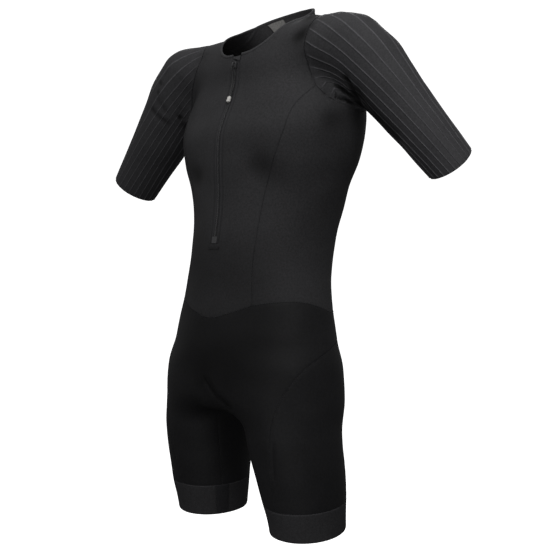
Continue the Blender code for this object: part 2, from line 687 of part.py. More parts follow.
def sleeve(name):
    """A tube with fine lengthwise ribs raised on its outside over a plain inside."""
    count, rows = RIBS["count"], RIBS["rows"]
    middle = (np.arange(count) + 0.5) / count
    foot = RIBS["half_width"] / count
    share = np.stack([middle - foot, middle, middle + foot], axis=1).ravel()
    outer, inner = sleeve_grid(name, share, rows), sleeve_grid(name, middle, rows)
    outer_normals, inner_normals = normals_of(outer), normals_of(inner)
    armhole = seams.path(ARMHOLE, SIDES[name])
    outer_normals[0] = along_polyline(armhole, share, normals_of(armhole))
    inner_normals[0] = along_polyline(armhole, middle, normals_of(armhole))
    rise = np.tile((0.0, RIBS["height"], 0.0), count)
    sunk = fold_height(outer)
    low = np.minimum.reduce([np.roll(sunk, turn, axis=1) for turn in (-2, -1, 0, 1, 2)])[:, 1::3]
    for grid in (outer, inner):
        grid[0] += (grid[1] - grid[0]) / np.linalg.norm(grid[1] - grid[0], axis=1)[:, None] * RIBS["start"]
    below_seam = (np.arange(rows + 1) > 0)[:, None]
    outer = outer + outer_normals * (sunk + rise[None, :] * below_seam)[..., None]
    inner = inner + inner_normals * (low - WALL)[..., None]
    width = 3 * count
    number = np.arange((rows + 1) * width).reshape(rows + 1, width)
    within = np.arange((rows + 1) * count).reshape(rows + 1, count) + number.size
    faces = []
    for grid, turned in ((number, False), (within, True)):
        beside = np.roll(grid, -1, axis=1)
        quads = np.stack([grid[:-1], grid[1:], beside[1:], beside[:-1]], axis=-1).reshape(-1, 4)
        faces += [tuple(quad[::-1]) if turned else tuple(quad) for quad in quads]
    for row, turned in ((0, True), (rows, False)):
        for rib in range(count):
            ring = [number[row, (3 * rib + 1 + step) % width] for step in range(4)]
            a, b = within[row, rib], within[row, (rib + 1) % count]
            fan = [(ring[1], ring[0], a), (ring[2], ring[1], a, b), (ring[3], ring[2], b)]
            faces += [face[::-1] if turned else face for face in fan]
    points = np.concatenate([outer.reshape(-1, 3), inner.reshape(-1, 3)])
    quad = points[list(faces[0])]
    facing = np.cross(quad[2] - quad[0], quad[3] - quad[1])
    if facing @ outer_normals[0, 0] < 0:
        faces = [face[::-1] for face in faces]
    add_object(f"sleeve_{name}", points, faces, "sleeve")


# ---------------------------------------------------------------- neck and zip

BINDING = {"width": 4.0 * MM, "lift": 0.4 * MM, "wall": 2.0 * MM, "gap": 0.35 * MM}
TAPE = {"inner": 2.9 * MM, "lift": -0.3 * MM, "wall": 1.0 * MM}
COIL = {"half_width": 2.6 * MM, "top": -0.0800, "bottom": -0.3740, "lift": 0.5 * MM, "wall": 1.6 * MM}
END_BOX = {"half_width": 6.0 * MM, "top": -0.3745, "bottom": -0.3855, "lift": 1.0 * MM, "wall": 1.0 * MM}
END_BAR = {"half_width": 13.0 * MM, "top": -0.3915, "bottom": -0.3950, "lift": 1.3 * MM, "wall": 1.0 * MM}
GARAGE = {"across": (-7.0 * MM, -1.0 * MM, 5.0 * MM, 10.5 * MM), "top": -0.0690, "bottom": -0.0772,
          "slant": 0.0060, "lift": 1.2 * MM, "wall": 0.8 * MM}
LABEL = {"rows": (0.15, 0.6, 1.0, 1.7), "columns": (7.2, 8.0, 8.9),  # places in the back's grid
         "wall": 0.5 * MM, "gap": 1.1 * MM}


def neck_binding():
    line = np.concatenate([seams.path(("neck_front", "neck_side", "neck_back"), 1.0),
                           seams.path(("neck_back", "neck_side", "neck_front"), -1.0)[1:]])
    along = np.gradient(line, axis=0)
    away = np.cross(along, normals_of(line))
    away /= np.linalg.norm(away, axis=1)[:, None]
    away *= np.sign(away[len(away) // 2, 2])
    edge = onto_form(line + away * BINDING["width"])
    cloth("neck_binding", [np.stack([line, edge])], "binding",
          BINDING["wall"], BINDING["lift"], BINDING["gap"])


def zip_strip(xs, top, bottom):
    """Grid on the zip's own points: at these places across it, between two heights."""
    edge = seams.path(("neck_front", "slot_end", "waist_slot"), 1.0)
    down, order = edge[:, 2], np.argsort(edge[:, 2])
    heights = np.concatenate([[top], down[(down < top) & (down > bottom)], [bottom]])
    y = np.interp(heights, down[order], edge[order, 1])
    x, z = np.meshgrid(xs, heights)
    return np.stack([x, np.broadcast_to(y[:, None], x.shape), z], axis=-1)


def zip_tapes():
    for name, side in SIDES.items():
        edge = seams.line("neck_front", "slot_end", side)
        columns = []
        for share in (0.0, 0.5, 1.0):
            line = edge.copy()
            line[:, 0] = edge[:, 0] * share + side * TAPE["inner"] * (1 - share)
            columns.append(line)
        cloth(f"zip_tape_{name}", [np.stack(columns, axis=1)], "tape", TAPE["wall"], TAPE["lift"])


def zip_trim():
    for node, cut, finish in (("zip_coil", COIL, "coil"), ("zip_end_box", END_BOX, "slider"),
                              ("zip_end_bar", END_BAR, "tape")):
        grid = zip_strip((-cut["half_width"], cut["half_width"]), cut["top"], cut["bottom"])
        cloth(node, [grid], finish, cut["wall"], cut["lift"], 0.0)


def zip_garage():
    """The small flap that hides the top of the zip."""
    grid = zip_strip(GARAGE["across"], GARAGE["top"], GARAGE["bottom"])
    slant = np.linspace(GARAGE["slant"], 0, grid.shape[1])
    grid[-1, :, 2] += slant
    grid[-1, :, 1] += slant * (grid[-1, 0, 1] - grid[0, 0, 1]) / (grid[-1, 0, 2] - slant[0] - grid[0, 0, 2])
    cloth("zip_garage", [grid], "binding", GARAGE["wall"], GARAGE["lift"], 0.0)


def on_grid(grid, rows, columns):
    """Points of a grid at fractions of its rows and columns, on the flats between its own points."""
    i, j = np.floor(rows).astype(int), np.floor(columns).astype(int)
    v, u = (rows - i)[:, None, None], (columns - j)[None, :, None]
    return ((1 - v) * (1 - u) * grid[i][:, j] + (1 - v) * u * grid[i][:, j + 1]
            + v * (1 - u) * grid[i + 1][:, j] + v * u * grid[i + 1][:, j + 1])


def neck_label():
    """The label lies inside the back of the neck, on the wearer's right."""
    grid = on_grid(back_grid(), np.array(LABEL["rows"]), np.array(LABEL["columns"]))
    cloth("neck_label", [grid], "label", LABEL["wall"], -WALL - LABEL["gap"], 0.0)


# ---------------------------------------------------------------- slider and pull

SLIDER = {"height_on_suit": -0.0842, "top_width": 9.5 * MM, "bottom_width": 8.0 * MM,
          "length": 11.0 * MM, "underside": 0.8 * MM, "face": 4.0 * MM, "edge": 0.8 * MM}
BAIL = {"width": 2.6 * MM, "outer_reach": 4.6 * MM, "outer_rise": 3.9 * MM, "inner_reach": 3.3 * MM,
        "inner_rise": 2.6 * MM, "foot": 0.6 * MM, "stations": 9}
# The cord from the middle of its crossing under the bail: half the distance between its strands,
# the distance down the front, and the height above the form, in millimetres.
CORD = {
    "out": (0.0, 1.3, 2.1, 2.5, 2.5, 2.4, 2.2, 2.0, 1.7, 1.5, 1.4, 1.4),
    "down": (0.0, 0.0, 0.3, 1.1, 6.0, 12.0, 22.0, 33.0, 42.0, 49.0, 54.0, 56.2),
    "height": (5.3, 5.3, 5.3, 5.3, 5.2, 4.2, 2.9, 2.3, 2.3, 2.7, 3.0, 3.0),
}
CORD_RADIUS = 0.8 * MM
CORD_SIDES = 8
TIP = {"top_width": 6.0 * MM, "bottom_width": 7.0 * MM, "thickness": 4.4 * MM, "from": 56.5 * MM,
       "to": 67.0 * MM, "height": 3.0 * MM, "edge": 1.4 * MM}
FRONT_LINE = {  # a guide just off the middle of the chest, drawn onto the form
    "height": (-0.072, -0.190), "y": (-0.094, -0.153), "points": 60}


def down_the_front(x, down, height):
    """Points by distance across, down the middle of the front from the slider, and above the form."""
    line = np.zeros((FRONT_LINE["points"], 3))
    line[:, 1] = np.linspace(*FRONT_LINE["y"], len(line))
    line[:, 2] = np.linspace(*FRONT_LINE["height"], len(line))
    line = onto_form(line)
    far = np.concatenate([[0], np.cumsum(np.linalg.norm(np.diff(line, axis=0), axis=1))])
    start = np.interp(-SLIDER["height_on_suit"], -line[:, 2], far)
    x, down, height = np.broadcast_arrays(x, down, height)
    base = np.stack([np.interp(start + down, far, line[:, axis]) for axis in range(3)], axis=-1)
    out = normals_of(base)
    base[..., 0] += x
    return base + out * height[..., None]


def tube_of(name, rings, finish):
    """A closed body from rings of points, with flat ends."""
    count, sides = rings.shape[:2]
    number = np.arange(count * sides).reshape(count, sides)
    beside = np.roll(number, -1, axis=1)
    quads = np.stack([number[:-1], beside[:-1], beside[1:], number[1:]], axis=-1).reshape(-1, 4)
    faces = [tuple(quad) for quad in quads] + [tuple(number[0][::-1]), tuple(number[-1])]
    made = add_object(name, rings.reshape(-1, 3), faces, finish)
    shape = bmesh.new()
    shape.from_mesh(made.data)
    bmesh.ops.recalc_face_normals(shape, faces=shape.faces)
    shape.to_mesh(made.data)
    shape.free()
    return made


def rounded(made, width, segments=2):
    edge = made.modifiers.new("edge", "BEVEL")
    edge.width, edge.segments = width, segments
    edge.limit_method = "ANGLE"


def block(name, cut, low, high, top, bottom, finish):
    """A block on the middle of the front: its width at the top and bottom, between two heights."""
    rings = [down_the_front(np.array([-w, w, w, -w]) / 2, down, np.array([low, low, high, high]))
             for w, down in ((cut[0], top), (cut[1], bottom))]
    return tube_of(name, np.array(rings), finish)


def zip_slider():
    half = SLIDER["length"] / 2
    body = block("zip_slider", (SLIDER["top_width"], SLIDER["bottom_width"]),
                 SLIDER["underside"], SLIDER["face"], -half, half, "slider")
    rounded(body, SLIDER["edge"])
    turn = np.linspace(0, math.pi, BAIL["stations"])
    across = np.array((-0.5, 0.5, 0.5, -0.5)) * BAIL["width"]
    reach = np.array((BAIL["outer_reach"], BAIL["outer_reach"], BAIL["inner_reach"], BAIL["inner_reach"]))
    rise = np.array((BAIL["outer_rise"], BAIL["outer_rise"], BAIL["inner_rise"], BAIL["inner_rise"]))
    rings = [down_the_front(across, reach, SLIDER["face"] - BAIL["foot"])]
    rings += [down_the_front(across, reach * math.cos(t), SLIDER["face"] + rise * math.sin(t)) for t in turn]
    rings += [down_the_front(across, -reach, SLIDER["face"] - BAIL["foot"])]
    bail = tube_of("bail_helper", np.array(rings), "slider")
    bail.hide_render = True
    union = body.modifiers.new("bail", "BOOLEAN")
    union.operation, union.solver, union.object = "UNION", "EXACT", bail


def pull_loop():
    """The cord: down one side, across under the bail and down the other."""
    out, down, height = (np.array(CORD[name]) * MM for name in ("out", "down", "height"))
    path = down_the_front(np.concatenate([-out[:0:-1], out]), np.concatenate([down[:0:-1], down]),
                          np.concatenate([height[:0:-1], height]))
    along = np.gradient(path, axis=0)
    along /= np.linalg.norm(along, axis=1)[:, None]
    across = np.cross(along, normals_of(path))
    across /= np.linalg.norm(across, axis=1)[:, None]
    over = np.cross(across, along)
    turn = 2 * math.pi * np.arange(CORD_SIDES) / CORD_SIDES
    rings = path[:, None] + CORD_RADIUS * (np.cos(turn)[None, :, None] * across[:, None]
                                           + np.sin(turn)[None, :, None] * over[:, None])
    tube_of("pull_loop", rings, "cord")


def pull_tip():
    low, high = TIP["height"] - TIP["thickness"] / 2, TIP["height"] + TIP["thickness"] / 2
    tip = block("pull_tip", (TIP["top_width"], TIP["bottom_width"]), low, high, TIP["from"], TIP["to"], "tip")
    rounded(tip, TIP["edge"])


front_body()
back_body()
hip_front()
seat_back()
for which, way in SIDES.items():
    side_panel(which, way)
    outer_leg(which, way)
    leg_band(which, way)
    sleeve(which)
neck_binding()
zip_tapes()
zip_trim()
zip_garage()
neck_label()
zip_slider()
pull_loop()
pull_tip()
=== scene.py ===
import math

import bpy
import numpy as np
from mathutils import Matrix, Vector
from mathutils.kdtree import KDTree


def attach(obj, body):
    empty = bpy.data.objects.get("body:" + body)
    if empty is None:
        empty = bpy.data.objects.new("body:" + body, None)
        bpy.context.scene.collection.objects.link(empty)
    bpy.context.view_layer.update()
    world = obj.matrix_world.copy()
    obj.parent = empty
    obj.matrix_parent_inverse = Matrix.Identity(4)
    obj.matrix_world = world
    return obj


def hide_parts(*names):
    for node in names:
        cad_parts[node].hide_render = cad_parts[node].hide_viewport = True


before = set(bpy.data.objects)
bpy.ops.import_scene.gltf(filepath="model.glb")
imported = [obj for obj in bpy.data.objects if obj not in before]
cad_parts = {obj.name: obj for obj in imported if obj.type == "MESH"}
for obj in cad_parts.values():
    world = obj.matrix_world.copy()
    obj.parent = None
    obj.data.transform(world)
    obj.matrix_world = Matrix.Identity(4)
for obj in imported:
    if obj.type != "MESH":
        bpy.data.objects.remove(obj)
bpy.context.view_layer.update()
print("frame loaded")

mm = 0.001
sides = {"left": 1.0, "right": -1.0}

# How finely each surface is drawn: spaces for each space of the solids' grids, and rows of a sleeve.
fineness, sleeveRows = ((6, 110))

# ---- the form

# Torso sections, top to bottom, in millimetres: where each crosses the middle plane, where it is
# widest, and the exponent of its superellipse.
torso = {
    "height": (80, 40, 10, -15, -45, -80, -120, -160, -200, -245,
               -290, -335, -375, -420, -470, -510, -565, -620, -680),
    "halfWidth": (66, 68, 71, 76, 89, 132, 167, 185, 186, 177, 157, 141, 133, 133, 143, 153, 166, 171, 168),
    "front": (-46, -52, -60, -70, -81, -93, -99, -113, -130, -134,
              -133, -135, -141, -146, -150, -154, -161, -161, -149),
    "back": (62, 67, 74, 81, 90, 100, 106, 108, 109, 107, 102, 95, 84, 72, 60, 55, 57, 61, 57),
    "widest": (5, 5, 5, 5, 0, -3, -5, -8, -10, -13, -16, -20, -27, -35, -43, -47, -51, -54, -56),
    "square": (2, 2, 2, 2, 2.1, 2.3, 2.3, 2.25, 2.15, 2.05, 2, 2.05, 2.1, 2.1, 2.1, 2.1, 2.1, 2.1, 2.1),
}
leg = {
    "height": (-560, -640, -700, -750, -800, -850, -900),
    "centreX": (86, 94, 104, 110, 115, 117, 118),
    "centreY": (-53, -57, -60, -55, -49, -43, -39),
    "halfWidth": (70, 77, 78, 75, 70, 63.5, 59),
    "halfDepth": (84, 87, 81, 76, 70, 63.5, 59),
}
arm = {
    "along": (-60, 0, 50, 100, 160, 220, 300, 340),
    "top": (52, 56, 60.5, 55.5, 49, 44, 39, 37),
    "under": (55, 55, 56, 54, 49, 44, 39, 37),
    "depth": (60, 61, 60, 55, 50, 45, 40, 38),
}
armFullness = {"left": 0.90, "right": 1.06}
armEnds = {"left": ((184, -2, -65), (367, 3, -273)), "right": ((-194, -22, -69), (-368, -38, -275))}
shoulderBar = {"reach": 150, "y": -8, "height": -67.5, "tilt": 0.005, "radius": 56, "depth": 66}
blend = {"bar": 30, "leg": 30, "armTop": 20, "leftArmpit": 44, "rightArmpit": 28, "hip": 30}
heights = {"crotch": -664, "legTop": -575, "armpitLow": -160, "armpitHigh": -70}
onForm = {"slopeStep": 0.4, "farthestMove": 30, "rounds": 8, "cornerRounds": 12}


# The same values in metres, except those named.
def inMetres(sizes, plain=()):
    return {name: value if name in plain else np.array(value) * mm for name, value in sizes.items()}


torso, leg, arm, armEnds = inMetres(torso, ("square",)), inMetres(leg), inMetres(arm), inMetres(armEnds)
shoulderBar, blend, heights = inMetres(shoulderBar, ("tilt",)), inMetres(blend), inMetres(heights)


# Vectors divided by their lengths.
def unit(v):
    return v / np.linalg.norm(v, axis=-1, keepdims=True)


# Shares from none to all of a length, with a count of equal steps.
def shares(count):
    return np.linspace(0, 1, count + 1)


# Columns of a table at the key's values, on cubic curves that pass through every row.
def smoothRead(table, key, names):
    rows = np.array([table[name] for name in table], float)
    order = np.argsort(rows[0])
    knots, values = rows[0][order], rows[1:, order]
    slopes = np.gradient(values, knots, axis=1)
    key = np.clip(key, knots[0], knots[-1])
    at = np.clip(np.searchsorted(knots, key) - 1, 0, len(knots) - 2)
    span = knots[at + 1] - knots[at]
    t = (key - knots[at]) / span
    read = ((2 * t**3 - 3 * t**2 + 1) * values[:, at] + (t**3 - 2 * t**2 + t) * span * slopes[:, at]
            + (3 * t**2 - 2 * t**3) * values[:, at + 1] + (t**3 - t**2) * span * slopes[:, at + 1])
    columns = list(table)[1:]
    return [read[columns.index(name)] for name in names]


# The smaller of two distances, rounded where they are within a width of each other.
def smoothMin(a, b, width):
    share = np.clip(0.5 + 0.5 * (b - a) / width, 0, 1)
    return a * share + b * (1 - share) - width * share * (1 - share)


# Size times one less the inverse of the superellipse's reach: negative inside the section.
def sectionDistance(across, depth, halfWidth, halfDepth, square=2.0):
    size = np.hypot(across, depth) + 1e-9
    reach = (np.abs(across / halfWidth) ** square + np.abs(depth / halfDepth) ** square) ** (1 / square)
    return size * (1 - 1 / np.maximum(reach, 1e-6))


def torsoDistance(p):
    halfWidth, front, back, widest, square = smoothRead(torso, p[:, 2], list(torso)[1:])
    depth = p[:, 1] - widest
    halfDepth = np.where(depth < 0, widest - front, back - widest)
    around = sectionDistance(p[:, 0], depth, halfWidth, halfDepth, square)
    return -smoothMin(-around, p[:, 2] - heights["crotch"], blend["hip"])


def legDistance(p, side):
    x, y, halfWidth, halfDepth = smoothRead(leg, p[:, 2], list(leg)[1:])
    around = sectionDistance(p[:, 0] - side * x, p[:, 1] - y, halfWidth, halfDepth)
    return -smoothMin(-around, heights["legTop"] - p[:, 2], blend["hip"])


# Shoulder point and the directions along the arm, across its top and to its back.
def armFrame(name):
    shoulder, hem = armEnds[name]
    along = unit(hem - shoulder)
    back = unit(np.array((0.0, 1.0, 0.0)) - along[1] * along)
    return shoulder, along, np.cross(back, along) * -sides[name], back


def armDistance(p, name):
    shoulder, along, lift, back = armFrame(name)
    q = p - shoulder
    s = q @ along
    top, under, depth = smoothRead(arm, s, list(arm)[1:])
    high = np.where(q @ lift > 0, top, under) * armFullness[name]
    depth = depth * armFullness[name]
    flat = sectionDistance(q @ lift, q @ back, high, depth)
    reach = np.sqrt((q @ lift / high) ** 2 + (q @ back / depth) ** 2 + (s / high) ** 2) + 1e-9
    return np.where(s > 0, flat, np.linalg.norm(q, axis=1) * (1 - 1 / reach))


# The yoke, a rounded bar from shoulder to shoulder.
def barDistance(p):
    beyond = np.maximum(np.abs(p[:, 0]) - shoulderBar["reach"], 0)
    y = p[:, 1] - shoulderBar["y"]
    z = p[:, 2] - shoulderBar["height"] - shoulderBar["tilt"] * p[:, 0]
    reach = np.sqrt((y / shoulderBar["depth"]) ** 2 + (z / shoulderBar["radius"]) ** 2
                    + (beyond / shoulderBar["radius"]) ** 2) + 1e-9
    return np.sqrt(y**2 + z**2 + beyond**2) * (1 - 1 / reach)


def formDistance(p):
    form = smoothMin(torsoDistance(p), barDistance(p), blend["bar"])
    low, high = heights["armpitLow"], heights["armpitHigh"]
    share = np.clip((p[:, 2] - low) / (high - low), 0, 1)
    for name in sides:
        under = blend[f"{name}Armpit"]
        form = smoothMin(form, armDistance(p, name), under + (blend["armTop"] - under) * share)
    legs = np.minimum(legDistance(p, 1.0), legDistance(p, -1.0))
    return smoothMin(form, legs, blend["leg"])


# Gradient of the form's distance, by central differences.
def slopeOf(p):
    step = onForm["slopeStep"] * mm
    return np.stack([formDistance(p + move) - formDistance(p - move) for move in np.eye(3) * step],
                    axis=1) / (2 * step)


# Points moved down the form's slope until they lie on it.
def ontoForm(p, rounds=onForm["rounds"]):
    shape = np.shape(p)
    p = np.array(p, float).reshape(-1, 3)
    for _ in range(rounds):
        slope = slopeOf(p)
        step = formDistance(p)[:, None] * slope / (slope**2).sum(axis=1)[:, None]
        size = np.linalg.norm(step, axis=1)[:, None] + 1e-12
        p = p - step * np.minimum(1, onForm["farthestMove"] * mm / size)
    return p.reshape(shape)


def normalsOf(p):
    return unit(slopeOf(np.reshape(p, (-1, 3)))).reshape(np.shape(p))


# ---- seams

# Where seams meet, on the left side (x, y, z), in millimetres.
places = {
    "neckFront": (11.2, -88, -68), "neckSide": (73, 20, 11), "neckBack": (0, 66, 36),
    "shoulder": (135, 22, -4), "chestCorner": (154, -62, -133), "backCorner": (170, 68, -146),
    "slotEnd": (11.2, -140, -386), "waistSlot": (11.2, -152, -508), "waistFront": (0, -152, -508),
    "waistCorner": (82, -134, -486), "waistSideBack": (105, 30, -497), "waistBack": (0, 58, -488),
    "hipBack": (118, 38, -536), "thighFront": (141, -126, -627), "crotch": (0, -88, -657),
}

# The solids' spaces along each seam, then the listed points between its two places, in millimetres.
seamPoints = {
    "neckFront neckSide": (6, (26, -87, -67), (48, -79, -58), (65, -63, -42), (75, -45, -26), (79, -12, -4)),
    "neckSide neckBack": (5, (58, 44, 24), (31, 61, 33)), "neckSide shoulder": (6,),
    "shoulder chestCorner": (10, (136, -12, -9), (141, -40, -22), (142, -56, -42), (138, -66, -70),
                             (141, -67, -101)),
    "chestCorner backCorner": (10, (168, -48, -155), (180, -25, -166), (186, 5, -170), (182, 40, -165)),
    "backCorner shoulder": (8, (152, 78, -112), (140, 76, -70), (134, 58, -26)),
    "neckFront slotEnd": (12, (11.2, -105, -120), (11.2, -123, -178), (11.2, -132, -240), (11.2, -133, -300)),
    "slotEnd waistSlot": (4, (11.2, -147, -440)),
    "chestCorner waistCorner": (12, (142, -77, -150), (132, -87, -166), (120, -102, -211), (108, -108, -245),
                                (90, -110, -296), (79, -119, -365), (76, -126, -415)),
    "backCorner waistSideBack": (12, (148, 85, -220), (118, 70, -330), (104, 48, -420)),
    "waistSlot waistCorner": (6, (30, -151, -503), (58, -143, -495)),
    "waistCorner waistSideBack": (10, (113, -113, -481), (142, -70, -482), (147, -47, -489), (144, -14, -499)),
    "waistSideBack waistBack": (11, (60, 50, -491)), "waistSideBack hipBack": (7,),
    "thighFront hipBack": (11, (158, -101, -589), (167, -64, -566), (152, -9, -547)),
    "waistFront crotch": (7, (0, -156, -560), (0, -150, -615), (0, -122, -648)),
    "waistBack crotch": (7, (0, 60, -560), (0, 56, -620), (0, 20, -664), (0, -40, -672)),
    "crotch thighFront": (6, (40, -125, -654), (90, -142, -646)),
    "crotch hipBack": (11, (45, 5, -668), (100, 40, -630), (122, 46, -580)),
    "crotch inseam": (9, (26, -105, -672), (36, -98, -722)),
    "thighFront bandFront": (9, (128, -132, -665), (122, -130, -720)),
    "hipBack bandOuterBack": (9, (140, 36, -620), (158, 14, -700), (164, 4, -760)),
}

# The right armhole sits a little lower and wider.
rightPlaces = {"chestCorner": (163, -63, -128)}
rightSeamPoints = {
    "shoulder chestCorner": ((136, -15, -12), (128, -45, -30), (120, -66, -52), (132, -71, -80),
                             (150, -68, -106)),
    "chestCorner backCorner": ((176, -56, -148), (187, -36, -168), (189, -8, -176), (184, 20, -172),
                               (176, 42, -162)),
}
band = {"left": {"top": -806, "hem": -854, "frontDip": 6.5},
        "right": {"top": -805, "hem": -859, "frontDip": 4}}
bandRows = 4  # spaces down a band, for each step of the fineness
bandAngles = {"bandFront": 0.0, "bandOuterBack": 135.0, "bandInnerBack": 285.0,
              "inseam": 295.0, "bandInnerFront": 305.0}
bandSteps = {"bandFront bandOuterBack": 11, "bandOuterBack bandInnerBack": 10, "bandInnerBack inseam": 1,
             "inseam bandInnerFront": 1, "bandInnerFront bandFront": 5}
armhole = "shoulder chestCorner backCorner shoulder"
drawn = {}


# Running length along a line of points.
def lengthsAlong(line):
    return np.concatenate([[0], np.cumsum(np.linalg.norm(np.diff(line, axis=0), axis=1))])


# Points, or other values that the points have, at shares of a line's length.
def alongLine(line, share, values=None):
    far = lengthsAlong(line)
    values = line if values is None else values
    return np.stack([np.interp(share * far[-1], far, values[:, axis]) for axis in range(3)], axis=1)


# A smooth curve through given points, drawn onto the form, at equal spaces.
def curveThrough(points, count):
    points = np.asarray(points, float)
    table = {"at": lengthsAlong(points), "x": points[:, 0], "y": points[:, 1], "z": points[:, 2]}
    close = np.stack(smoothRead(table, shares(4 * count) * table["at"][-1], ("x", "y", "z")), axis=1)
    return ontoForm(alongLine(ontoForm(close), shares(count)))


# A straight line between two points, drawn onto the form with its ends kept.
def straightLine(start, end, count):
    line = ontoForm(alongLine(np.array([start, end]), shares(count)))
    line[0], line[-1] = start, end
    return line


# Point on a leg at an angle from its front, turning outward, on a band's top or hem.
def bandPoint(side, angle, edge):
    sizes, turn = band["left" if side > 0 else "right"], math.radians(angle)
    height = (sizes[edge] - sizes["frontDip"] * math.cos(turn)) * mm
    x, y, halfWidth, halfDepth = (value[0] for value in smoothRead(leg, np.array([height]), list(leg)[1:]))
    return (side * (x + halfWidth * math.sin(turn)), y - halfDepth * math.cos(turn), height)


def placeOf(name, side):
    if name in bandAngles:
        return bandPoint(side, bandAngles[name], "top")
    return mirrored((rightPlaces if side < 0 else {}).get(name, places[name]), side)


# A point in millimetres, moved to its side, in metres.
def mirrored(point, side):
    x, y, z = point
    return (side * x * mm, y * mm, z * mm)


def corner(name, side):
    if (name, side) not in drawn:
        drawn[(name, side)] = ontoForm(np.array([placeOf(name, side)]), onForm["cornerRounds"])[0]
    return drawn[(name, side)]


# The seam between two places, in either direction; each is drawn once.
def seamLine(start, end, side):
    forward = f"{start} {end}" in seamPoints
    first, last = (start, end) if forward else (end, start)
    key = f"{first} {last}"
    if (key, side) not in drawn:
        count, *points = seamPoints[key]
        points = (rightSeamPoints if side < 0 else {}).get(key, points)
        ends = [placeOf(first, side), *(mirrored(point, side) for point in points), placeOf(last, side)]
        line = curveThrough(ends, count * fineness)
        line[0], line[-1] = corner(first, side), corner(last, side)
        drawn[(key, side)] = line
    return drawn[(key, side)][:: 1 if forward else -1]


# A stretch of a leg band's ring, at the band's top or hem.
def ringLine(start, end, side, edge):
    key = (start, end, side, edge)
    if key not in drawn:
        first, last = bandAngles[start], bandAngles[end]
        last += 360 * (last <= first)
        angles = first + (last - first) * shares(bandSteps[f"{start} {end}"] * fineness)
        line = ontoForm([bandPoint(side, angle, edge) for angle in angles])
        if edge == "top":
            line[0], line[-1] = corner(start, side), corner(end, side)
        drawn[key] = line
    return drawn[key]


def endToEnd(lines):
    return np.concatenate([lines[0]] + [line[1:] for line in lines[1:]])


# Seams joined end to end through the places named.
def seamPath(names, side):
    names = names.split()
    return endToEnd([seamLine(a, b, side) for a, b in zip(names, names[1:])])


def ringPath(names, side, edge="top"):
    names = names.split()
    return endToEnd([ringLine(a, b, side, edge) for a, b in zip(names, names[1:])])


# A grid between four edges, each point the sum of its opposite edges' blends less the corners' blend.
def patch(top, bottom, left, right):
    down = shares(len(left) - 1)[:, None, None]
    over = shares(len(top) - 1)[None, :, None]
    grid = ((1 - down) * top[None] + down * bottom[None] + (1 - over) * left[:, None] + over * right[:, None]
            - (1 - down) * (1 - over) * top[0] - (1 - down) * over * top[-1]
            - down * (1 - over) * bottom[0] - down * over * bottom[-1])
    grid[1:-1, 1:-1] = ontoForm(grid[1:-1, 1:-1])
    return grid


# ---- folds and the cloth's unevenness

